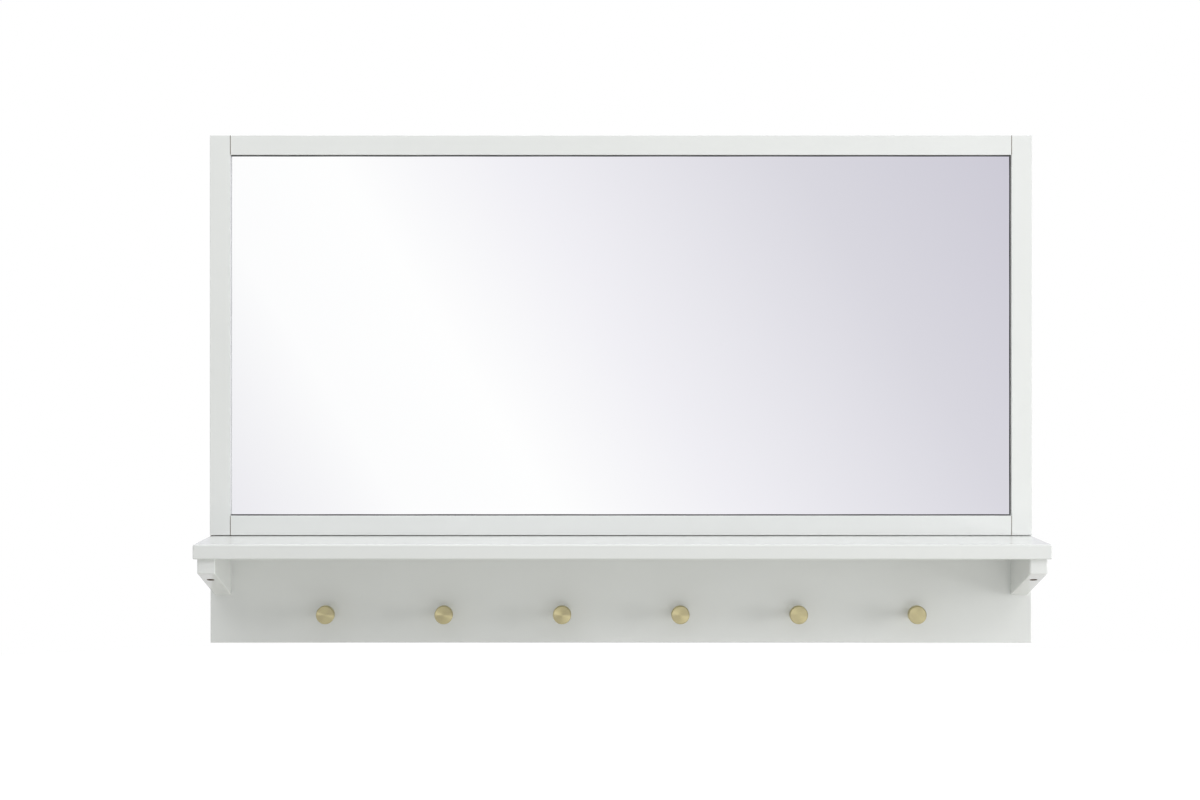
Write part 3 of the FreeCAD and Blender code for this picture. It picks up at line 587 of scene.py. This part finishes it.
point_low, point_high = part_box("framer_points")
wall_left, wall_right = point_low.x + POINT_GRIP, point_high.x - POINT_GRIP
wall_low, wall_high = point_low.z + POINT_GRIP, point_high.z - POINT_GRIP
point_spots = []
for x in evenly(opening_left + POINT_INSET, opening_right - POINT_INSET, RAIL_POINTS):
    point_spots.append(((x, point_low.y, wall_low), (0, -math.pi / 2, 0)))
    point_spots.append(((x, point_low.y, wall_high), (0, math.pi / 2, 0)))
for z in evenly(opening_low + POINT_INSET, opening_high - POINT_INSET, STILE_POINTS):
    point_spots.append(((wall_left, point_low.y, z), (0, 0, 0)))
    point_spots.append(((wall_right, point_low.y, z), (0, math.pi, 0)))
point_shape = framer_point()
steel_points = set_pieces(
    "steel_points", on_spots_tree(), point_spots, {"Shape": point_shape, "Finish": zinc_steel}
)
bpy.data.objects.remove(point_shape)
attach(steel_points, "root")
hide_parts("framer_points")


# Peg board: the board below the frame, sawn square, eased at the front edges and sprayed like the frame.
# Dowels join its top to the frame, and the screws of shelf, brackets and pegs go in from its back, which
# lies flat against the wall.
board_low, board_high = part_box("peg_board")
BOARD_SKIN = 0.0006


def board_bores_mask(tree, place):
    """Everything cut into the peg board, behind its sprayed faces, and the painted shade on its top in the
    shelf joint.
    """
    axes = add(tree, "ShaderNodeSeparateXYZ", {"Vector": place}).outputs
    inside = shelf_joint_shade_mask(tree, place)
    depths = []
    for axis, low, high in (
        ("X", board_low.x, board_high.x),
        ("Y", board_low.y, board_high.y),
        ("Z", board_low.z, board_high.z),
    ):
        middle, half = (low + high) / 2, (high - low) / 2
        away = calculate(tree, "ABSOLUTE", calculate(tree, "SUBTRACT", axes[axis], middle))
        depths.append(spread_over(tree, away, half - BOARD_SKIN, half - BOARD_SKIN / 2, 1.0, 0.0))
    within = calculate(tree, "MULTIPLY", calculate(tree, "MULTIPLY", depths[0], depths[1]), depths[2])
    return calculate(tree, "MAXIMUM", within, inside)


coat(white_lacquer_finish("white_lacquer_board", board_bores_mask), "peg_board")


# Shelf: one wooden board as wide as the frame, with eased edges, sprayed with the same lacquer. Its rear
# edge butts against the peg board, tucked under the frame, and five screws from behind hold it.
# The shelf's top in the joint under the frame is painted dark as shade.
coat(white_lacquer_finish("white_lacquer_shelf", shelf_joint_shade_mask), "shelf_board")


# Brackets: solid wooden wedges under the shelf's ends, with an upright nose and a sloped underside,
# sprayed with the shelf and held by one screw up into it and one from behind.
BRACKET_BORE_MM = 4.02
bore_low, bore_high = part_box("bracket_screws")


def bracket_bore_mask(tree, place):
    """The wall of the counterbore in each bracket's slope, drilled after spraying; its dark bare-wood tone
    also paints shade in the bore.
    """
    both_sides = add(tree, "ShaderNodeVectorMath", {0: place}, operation="ABSOLUTE").outputs[0]
    depth = (bore_low.y + bore_high.y) / 2
    across = bore_high.x - (bore_high.y - bore_low.y) / 2
    return cut_mask(tree, both_sides, (across, abs(depth), 0), (1, 1, 0), BRACKET_BORE_MM)


coat(white_lacquer_finish("white_lacquer_brackets", bracket_bore_mask), "left_bracket", "right_bracket")


# Screws: zinc-plated pan-head wood screws with a cross recess, sunk in counterbores in the back of the
# peg board and in the brackets' slopes.
SCREW_SEGMENTS = 40
SHANK_RADIUS = 0.002
SCREW_HEAD_HEIGHT = 0.0028
SCREW_POINT = 0.004
SCREW_COUNTS = {"peg_screws": 6, "shelf_screws": 5, "bracket_rear_screws": 2}
SCREW_SPIN = 2.4
CROWN_STEPS = 7
CROWN_FOOT, CROWN_RISE = 0.45, 0.55
RECESS_WIDTH_SHARE, RECESS_DEPTH_SHARE, RECESS_ARM_SHARE = 1.05, 0.6, 0.24
SHARP_FOLD = math.radians(28)
SEAM_CLOSES = 0.000002


def turned_body_group():
    """A body turned about Y from a profile of (radius, place along Y) points."""
    tree, given, result = new_group(
        "turned_body",
        "GeometryNodeTree",
        {"Profile": "NodeSocketObject", "Segments": "NodeSocketInt"},
        {"Geometry": "NodeSocketGeometry"},
    )
    profile = add(tree, "GeometryNodeObjectInfo", {"Object": given["Profile"]}).outputs["Geometry"]
    stations = add(tree, "GeometryNodeAttributeDomainSize", {"Geometry": profile}).outputs["Point Count"]
    columns = calculate(tree, "ADD", given["Segments"], 1.0)
    net = add(tree, "GeometryNodeMeshGrid", {"Vertices X": columns, "Vertices Y": stations})
    index = add(tree, "GeometryNodeInputIndex").outputs[0]
    station = calculate(tree, "MODULO", index, stations)
    column = calculate(tree, "FLOOR", calculate(tree, "DIVIDE", index, stations))
    spot = add(
        tree,
        "GeometryNodeSampleIndex",
        {"Geometry": profile, "Value": add(tree, "GeometryNodeInputPosition").outputs[0], "Index": station},
        data_type="FLOAT_VECTOR",
    ).outputs["Value"]
    parts = add(tree, "ShaderNodeSeparateXYZ", {"Vector": spot}).outputs
    angle = calculate(tree, "MULTIPLY", calculate(tree, "DIVIDE", column, given["Segments"]), 2 * math.pi)
    across = calculate(tree, "MULTIPLY", parts["X"], calculate(tree, "COSINE", angle))
    up = calculate(tree, "MULTIPLY", parts["X"], calculate(tree, "SINE", angle))
    place = add(tree, "ShaderNodeCombineXYZ", {"X": across, "Y": parts["Y"], "Z": up}).outputs[0]
    bent = add(tree, "GeometryNodeSetPosition", {"Geometry": net.outputs["Mesh"], "Position": place})
    inputs = {"Geometry": bent.outputs[0], "Distance": SEAM_CLOSES}
    closed = add(tree, "GeometryNodeMergeByDistance", inputs)
    kept = add(
        tree,
        "GeometryNodeStoreNamedAttribute",
        {
            "Geometry": closed.outputs[0],
            "Name": "turned",
            "Value": add(tree, "GeometryNodeInputPosition").outputs[0],
        },
        data_type="FLOAT_VECTOR",
    )
    tree.links.new(kept.outputs[0], result.inputs["Geometry"])
    return tree


turned_body = turned_body_group()


def with_sharp_folds(tree, shape):
    """The shape with smooth shading, and with sharp edges where its surface folds."""
    smooth = add(tree, "GeometryNodeSetShadeSmooth", {"Geometry": shape, "Shade Smooth": True})
    fold = add(tree, "GeometryNodeInputMeshEdgeAngle").outputs["Unsigned Angle"]
    sharp = add(tree, "FunctionNodeCompare", {0: fold, 1: SHARP_FOLD}, operation="GREATER_THAN").outputs[0]
    return add(
        tree,
        "GeometryNodeSetShadeSmooth",
        {"Geometry": smooth.outputs[0], "Selection": sharp, "Shade Smooth": False},
        domain="EDGE",
    ).outputs[0]


def profile_points(name, points):
    """A holder for the points of a turned profile, given as (radius, place along Y)."""
    mesh = bpy.data.meshes.new(name)
    mesh.from_pydata([(radius, depth, 0.0) for radius, depth in points], [], [])
    holder = bpy.data.objects.new(name, mesh)
    scene.collection.objects.link(holder)
    return holder


def cross_screw_tree():
    """Turned screws with a cross recess, each left at its own angle, on spots."""
    tree, given, result = new_group(
        "cross_recess_screws",
        "GeometryNodeTree",
        {
            "Spots": "NodeSocketGeometry",
            "Profile": "NodeSocketObject",
            "Head Top": "NodeSocketFloat",
            "Recess Width": "NodeSocketFloat",
            "Recess Depth": "NodeSocketFloat",
            "Finish": "NodeSocketMaterial",
        },
        {"Geometry": "NodeSocketGeometry"},
    )
    body = add(tree, "GeometryNodeGroup", node_tree=turned_body)
    tree.links.new(given["Profile"], body.inputs["Profile"])
    body.inputs["Segments"].default_value = SCREW_SEGMENTS
    # The two cutting blocks are centred on the top of the head, so half of each stands above it.
    arm = calculate(tree, "MULTIPLY", given["Recess Width"], RECESS_ARM_SHARE)
    deep = calculate(tree, "MULTIPLY", given["Recess Depth"], 2.0)
    at_top = add(tree, "ShaderNodeCombineXYZ", {"Y": given["Head Top"]}).outputs[0]
    cutters = []
    for wide, narrow in (("X", "Z"), ("Z", "X")):
        size = add(tree, "ShaderNodeCombineXYZ", {wide: given["Recess Width"], "Y": deep, narrow: arm})
        block = add(tree, "GeometryNodeMeshCube", {"Size": size.outputs[0]}).outputs["Mesh"]
        raised = add(tree, "GeometryNodeTransform", {"Geometry": block, "Translation": at_top})
        cutters.append(raised.outputs[0])
    cut = add(
        tree,
        "GeometryNodeMeshBoolean",
        {"Mesh 1": body.outputs[0], "Self Intersection": True},
        operation="DIFFERENCE",
        solver="EXACT",
    )
    for cutter in cutters:
        tree.links.new(cutter, cut.inputs["Mesh 2"])
    set_on_spots(tree, given, with_sharp_folds(tree, cut.outputs["Mesh"]), result)
    return tree


cross_screws = cross_screw_tree()


def pan_screw_profile(head_radius, length):
    """A pan-head screw, its seat at 0, its crowned head towards +Y and its point along -Y."""
    points = []
    for step in range(CROWN_STEPS + 1):
        turn = math.pi / 2 * step / CROWN_STEPS
        crown = CROWN_FOOT + CROWN_RISE * math.cos(turn)
        points.append((head_radius * math.sin(turn), SCREW_HEAD_HEIGHT * crown))
    points += [(head_radius, 0.0), (SHANK_RADIUS, 0.0)]
    points += [(SHANK_RADIUS, SCREW_POINT - length), (0.0, -length)]
    return points


def drive_screws(node, profile, spots, head_top, recess_width, recess_depth):
    """Replace a node of screws by turned ones with cross recesses."""
    holder = profile_points(node + "_profile", profile)
    values = {
        "Profile": holder,
        "Head Top": head_top,
        "Recess Width": recess_width,
        "Recess Depth": recess_depth,
        "Finish": zinc_steel,
    }
    screws = set_pieces("cross_" + node, cross_screws, spots, values)
    bpy.data.objects.remove(holder)
    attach(screws, "root")
    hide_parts(node)


def drive_pan_screws(node, head_radius, length, spots):
    """Pan-head screws for one node, with their seats on the spots."""
    profile = pan_screw_profile(head_radius, length)
    recess_width, recess_depth = head_radius * RECESS_WIDTH_SHARE, SCREW_HEAD_HEIGHT * RECESS_DEPTH_SHARE
    drive_screws(node, profile, spots, SCREW_HEAD_HEIGHT, recess_width, recess_depth)


def left_as_driven(index, axis):
    """The angle at which a screw happened to stop, about Y or, with a quarter turn, about Z."""
    spin = index * SCREW_SPIN
    return (-math.pi / 2, 0, spin) if axis == "Z" else (0, spin, 0)


for node, count in SCREW_COUNTS.items():
    low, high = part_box(node)
    head = (high.z - low.z) / 2
    seat = high.y - SCREW_HEAD_HEIGHT
    level = (low.z + high.z) / 2
    spots = [
        ((x, seat, level), left_as_driven(index, "Y"))
        for index, x in enumerate(evenly(low.x + head, high.x - head, count))
    ]
    drive_pan_screws(node, head, seat - low.y, spots)

low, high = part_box("bracket_screws")
head = (high.y - low.y) / 2
seat = low.z + SCREW_HEAD_HEIGHT
spots = [
    ((x, (low.y + high.y) / 2, seat), left_as_driven(index, "Z"))
    for index, x in enumerate((low.x + head, high.x - head))
]
drive_pan_screws("bracket_screws", head, high.z - seat, spots)


# Pegs: turned from brass bar, a flat round head with chamfered edges on a slim neck, tapped for a screw
# from behind. The tool leaves fine rings on the face, which draw the light into two opposite fans.
PEG_COUNT = 6
PEG_SEGMENTS = 96
NECK_RADIUS = 0.0045
BORE_RADIUS, BORE_DEPTH = 0.0021, 0.014
HEAD_LENGTH = 0.008
HEAD_CHAMFER = 0.0008
NECK_ROUND = 0.002
ROUND_STEPS = 8
FACE_RING_SHARE = 0.5
BRASS_TONES = ((0.470, 0.417, 0.231, 1), (0.558, 0.508, 0.297, 1))
BRASS_ROUGHNESS = (0.28, 0.32)
BRASS_PATCH_MM = 5.0
RING_PITCH_MM, RING_DULLER, RING_LEAN = 0.3, 0.08, 0.6
TARNISH_TONE = (0.430, 0.377, 0.204, 1)
TARNISH_PATCH_MM, TARNISH_SHARE = 9.0, 0.35


def peg_profile(head_radius, length):
    """A peg with its foot at 0 and its head towards -Y, from the bottom of its bore to its face."""
    head_back = -(length - HEAD_LENGTH)
    points = [(0.0, -BORE_DEPTH), (BORE_RADIUS, -BORE_DEPTH), (BORE_RADIUS, 0.0), (NECK_RADIUS, 0.0)]
    for step in range(ROUND_STEPS + 1):
        turn = math.pi / 2 * step / ROUND_STEPS
        radius = NECK_RADIUS + NECK_ROUND * (1 - math.cos(turn))
        points.append((radius, head_back + NECK_ROUND * (1 - math.sin(turn))))
    points += [
        (head_radius - HEAD_CHAMFER, head_back),
        (head_radius, head_back - HEAD_CHAMFER),
        (head_radius, HEAD_CHAMFER - length),
        (head_radius - HEAD_CHAMFER, -length),
        (head_radius * FACE_RING_SHARE, -length),
        (0.0, -length),
    ]
    return points


def turned_brass_finish():
    brass, tree, shader, place = new_finish("turned_brass", Metallic=1.0, Anisotropic=0.97)
    turned = add(tree, "ShaderNodeAttribute", attribute_name="turned").outputs["Vector"]
    flat = add(tree, "ShaderNodeVectorMath", {0: turned, 1: (1, 0, 1)}, operation="MULTIPLY").outputs[0]
    radius = add(tree, "ShaderNodeVectorMath", {0: flat}, operation="LENGTH").outputs["Value"]
    depth = add(tree, "ShaderNodeSeparateXYZ", {"Vector": turned}).outputs["Y"]
    rings = lines(tree, calculate(tree, "ADD", radius, depth), RING_PITCH_MM)
    bright = mix_colours(tree, rings, *BRASS_TONES)
    patchy = patches(tree, place, TARNISH_PATCH_MM, 0.0, 1.0)
    tarnish = calculate(tree, "MULTIPLY", patchy, TARNISH_SHARE)
    tree.links.new(mix_colours(tree, tarnish, bright, TARNISH_TONE), shader.inputs["Base Color"])
    plain = patches(tree, place, BRASS_PATCH_MM, *BRASS_ROUGHNESS)
    ringed = calculate(tree, "MULTIPLY_ADD", rings, RING_DULLER, plain)
    tree.links.new(ringed, shader.inputs["Roughness"])
    outward = add(tree, "ShaderNodeVectorMath", {0: flat}, operation="NORMALIZE").outputs[0]
    across_rings = add(tree, "ShaderNodeVectorMath", {0: outward, 1: (0, RING_LEAN, 0)}, operation="ADD")
    tree.links.new(across_rings.outputs[0], shader.inputs["Tangent"])
    return brass


def peg_tree():
    """Turned pegs on spots."""
    tree, given, result = new_group(
        "turned_pegs",
        "GeometryNodeTree",
        {"Spots": "NodeSocketGeometry", "Profile": "NodeSocketObject", "Finish": "NodeSocketMaterial"},
        {"Geometry": "NodeSocketGeometry"},
    )
    body = add(tree, "GeometryNodeGroup", node_tree=turned_body)
    tree.links.new(given["Profile"], body.inputs["Profile"])
    body.inputs["Segments"].default_value = PEG_SEGMENTS
    set_on_spots(tree, given, with_sharp_folds(tree, body.outputs[0]), result)
    return tree


peg_names = [f"peg_{index + 1}" for index in range(PEG_COUNT)]
peg_spots = []
for name in peg_names:
    low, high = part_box(name)
    peg_spots.append((((low.x + high.x) / 2, high.y, (low.z + high.z) / 2), (0, 0, 0)))
profile = profile_points("peg_outline", peg_profile((high.z - low.z) / 2, high.y - low.y))
brass_pegs = set_pieces(
    "brass_pegs", peg_tree(), peg_spots, {"Profile": profile, "Finish": turned_brass_finish()}
)
bpy.data.objects.remove(profile)
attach(brass_pegs, "root")
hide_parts(*peg_names)


# Keyhole plates: stamped zinc-plated steel, let in flush with the backs of the stiles, each held by two
# small countersunk screws. The heads of two wall screws go in at the round ends and slide up the slots.
PLATE_SCREW_HEAD, PLATE_SCREW_SHANK, PLATE_SHEET = 0.0028, 0.00145, 0.0015
PLATE_SCREW_POINT = 0.003
PLATE_RECESS_SHARE, PLATE_RECESS_DEPTH = 1.2, 0.0011
coat(zinc_steel, "left_hanger_plate", "right_hanger_plate")
low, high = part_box("hanger_screws")
plate_screw = [
    (0.0, 0.0),
    (PLATE_SCREW_HEAD, 0.0),
    (PLATE_SCREW_SHANK, -PLATE_SHEET),
    (PLATE_SCREW_SHANK, PLATE_SCREW_POINT + low.y),
    (0.0, low.y),
]
places = [
    (x, high.y, z)
    for x in (low.x + PLATE_SCREW_HEAD, high.x - PLATE_SCREW_HEAD)
    for z in (low.z + PLATE_SCREW_HEAD, high.z - PLATE_SCREW_HEAD)
]
spots = [(place, left_as_driven(index, "Y")) for index, place in enumerate(places)]
plate_recess = PLATE_SCREW_HEAD * PLATE_RECESS_SHARE
drive_screws("hanger_screws", plate_screw, spots, 0.0, plate_recess, PLATE_RECESS_DEPTH)


# Studio floor: a round sheet of pale paper, well below the hung mirror. Where it is seen it has a faint
# glow, so that it reads even from the lamps' pool of light to its edge; mirrored, it is a greyer lavender.
FLOOR_LEVEL = -0.92
FLOOR_RADIUS = 3.6
FLOOR_SIDES = 128
FLOOR_TONES = ((0.67, 0.665, 0.62, 1), (0.69, 0.685, 0.64, 1))
FLOOR_CLOUD_MM = 700.0
POOL_CENTRE = (0.1, -0.4, FLOOR_LEVEL)
POOL_REACH = 2.7
FLOOR_GLOW = (0.28, 0.72)
FLOOR_SEEN = (0.94, 0.945, 1.0, 1)
FLOOR_MIRRORED = (0.70, 0.68, 0.80, 1)
FLOOR_EDGE_MIRRORED = (0.36, 0.345, 0.45, 1)
FLOOR_EDGE_STARTS = 1.2


def seen_rays(tree):
    """Light Path's outputs, and a mask of rays that show a surface: direct, mirrored or through glass."""
    rays = add(tree, "ShaderNodeLightPath").outputs
    direct_or_mirrored = calculate(tree, "MAXIMUM", rays["Is Camera Ray"], rays["Is Glossy Ray"])
    return rays, calculate(tree, "MAXIMUM", direct_or_mirrored, rays["Is Transmission Ray"])


def studio_floor():
    shell = bmesh.new()
    bmesh.ops.create_circle(shell, cap_ends=True, cap_tris=True, segments=FLOOR_SIDES, radius=FLOOR_RADIUS)
    for corner in shell.verts:
        corner.co.z = FLOOR_LEVEL
    paper, tree, shader, place = new_finish("floor_paper", Roughness=0.9)
    cloud = patches(tree, place, FLOOR_CLOUD_MM, 0.0, 1.0)
    tree.links.new(mix_colours(tree, cloud, *FLOOR_TONES), shader.inputs["Base Color"])
    rays, seen = seen_rays(tree)
    from_pool = add(tree, "ShaderNodeVectorMath", {0: place, 1: POOL_CENTRE}, operation="DISTANCE")
    away = from_pool.outputs["Value"]
    strength = calculate(tree, "MULTIPLY", seen, spread_over(tree, away, 0.0, POOL_REACH, *FLOOR_GLOW))
    far = spread_over(tree, away, FLOOR_EDGE_STARTS, FLOOR_RADIUS)
    mirrored = mix_colours(tree, far, FLOOR_MIRRORED, FLOOR_EDGE_MIRRORED)
    tint = mix_colours(tree, rays["Is Glossy Ray"], FLOOR_SEEN, mirrored)
    glow = add(tree, "ShaderNodeEmission", {"Color": tint, "Strength": strength})
    both = add(tree, "ShaderNodeAddShader", {0: shader.outputs[0], 1: glow.outputs[0]})
    tree.links.new(both.outputs[0], tree.nodes["Material Output"].inputs["Surface"])
    floor = new_piece("studio_floor", shell, paper)
    return floor


floor = studio_floor()


# Studio surround: plain white walls on all sides, which also light the mirror softly. What the glass sees
# in front of it fades on a slant from white to lavender grey.
BACKDROP_SLANT = (0.849, 0.0, 0.529)
BACKDROP_SPAN = (-0.30, 0.30)
BACKDROP_TONES = (
    (-0.30, (0.800, 0.795, 0.830)),
    (-0.165, (0.840, 0.833, 0.870)),
    (-0.105, (0.985, 0.985, 0.990)),
    (-0.050, (1.0, 1.0, 1.0)),
    (0.014, (0.880, 0.871, 0.913)),
    (0.117, (0.697, 0.687, 0.745)),
    (0.195, (0.610, 0.597, 0.672)),
    (0.30, (0.560, 0.548, 0.620)),
)
BEHIND_MIRRORED = (0.76, 0.76, 0.79, 1)
IN_FRONT_STARTS, IN_FRONT_FULL = 0.2, -0.4
SEEN_WHITE = (1, 1, 1, 1)
SURROUND_LIGHT = (0.443, 0.452, 0.456, 1)


def studio_surround():
    world = bpy.data.worlds.new("studio_surround")
    scene.world = world
    world.use_nodes = True
    tree = world.node_tree
    tree.nodes.clear()
    way = add(tree, "ShaderNodeTexCoord").outputs["Generated"]
    slant = add(tree, "ShaderNodeVectorMath", {0: way, 1: BACKDROP_SLANT}, operation="DOT_PRODUCT")
    share = spread_over(tree, slant.outputs["Value"], *BACKDROP_SPAN)
    ramp = add(tree, "ShaderNodeValToRGB", {"Fac": share})
    first, last = BACKDROP_SPAN
    stops = ramp.color_ramp.elements
    while len(stops) < len(BACKDROP_TONES):
        stops.new(0.5)
    for stop, (place, tone) in zip(stops, BACKDROP_TONES):
        stop.position = (place - first) / (last - first)
        stop.color = (*tone, 1)
    depth = add(tree, "ShaderNodeSeparateXYZ", {"Vector": way}).outputs["Y"]
    in_front = spread_over(tree, depth, IN_FRONT_STARTS, IN_FRONT_FULL)
    mirrored = mix_colours(tree, in_front, BEHIND_MIRRORED, ramp.outputs["Color"])
    rays, seen = seen_rays(tree)
    walls = mix_colours(tree, rays["Is Camera Ray"], mirrored, SEEN_WHITE)
    shown = add(tree, "ShaderNodeBackground", {"Color": walls})
    light = add(tree, "ShaderNodeBackground", {"Color": SURROUND_LIGHT})
    mixed = add(tree, "ShaderNodeMixShader", {0: seen, 1: light.outputs[0], 2: shown.outputs[0]})
    add(tree, "ShaderNodeOutputWorld", {"Surface": mixed.outputs[0]})


studio_surround()


# Lamps: five soft boxes, one above, two on the right, a strip low in front for the pegs, and one behind.
# The strip is kept off the glass and the floor, and the side lamp out of reflections, so that the mirror
# shows neither.
def soft_lamp(name, place, target, size, power):
    """A soft box, with its size as (width, height), that points at the target."""
    lamp = bpy.data.lights.new(name, "AREA")
    lamp.shape = "RECTANGLE"
    lamp.size, lamp.size_y = size
    lamp.energy = power
    holder = bpy.data.objects.new(name, lamp)
    holder.location = place
    holder.rotation_euler = (Vector(target) - Vector(place)).to_track_quat("-Z", "Y").to_euler()
    scene.collection.objects.link(holder)
    return holder


middle = (cad_box[0] + cad_box[1]) / 2
soft_lamp("top_lamp", (-0.5, -1.08, 1.58), middle, (2.3, 2.3), 27.0)
side_lamp = soft_lamp("right_side_lamp", (1.7, -0.55, -0.3), middle, (0.8, 0.8), 11.2)
soft_lamp("right_high_lamp", (1.45, -1.45, 1.25), middle, (1.2, 1.2), 7.6)
strip_lamp = soft_lamp("low_front_lamp", (0.45, -1.8, -0.80), middle, (1.0, 0.2), 1.7)
soft_lamp("back_lamp", (0.4, 1.9, 1.4), middle, (2.2, 2.2), 12.0)
not_lit_by_strip = bpy.data.collections.new("not_lit_by_strip")
for piece in (nodes["mirror_glass"], floor):
    not_lit_by_strip.objects.link(piece)
for piece in not_lit_by_strip.collection_objects:
    piece.light_linking.link_state = "EXCLUDE"
strip_lamp.light_linking.receiver_collection = not_lit_by_strip
side_lamp.visible_glossy = False


# Camera: level, square to the mirror, a little left of its middle and above it, with the lens shifted so
# that the mirror sits as the picture frames it.
LENS, SENSOR = 69.5, 36.0
LENS_SHIFT = (0.0095, -0.0458)
CAMERA_PLACE = (-0.034, -2.453, -0.1502)
camera_data = bpy.data.cameras.new("camera")
camera_data.lens = LENS
camera_data.sensor_width = SENSOR
camera_data.shift_x, camera_data.shift_y = LENS_SHIFT
camera = bpy.data.objects.new("camera", camera_data)
camera.location = CAMERA_PLACE
camera.rotation_euler = (math.pi / 2, 0, 0)
scene.collection.objects.link(camera)
scene.camera = camera
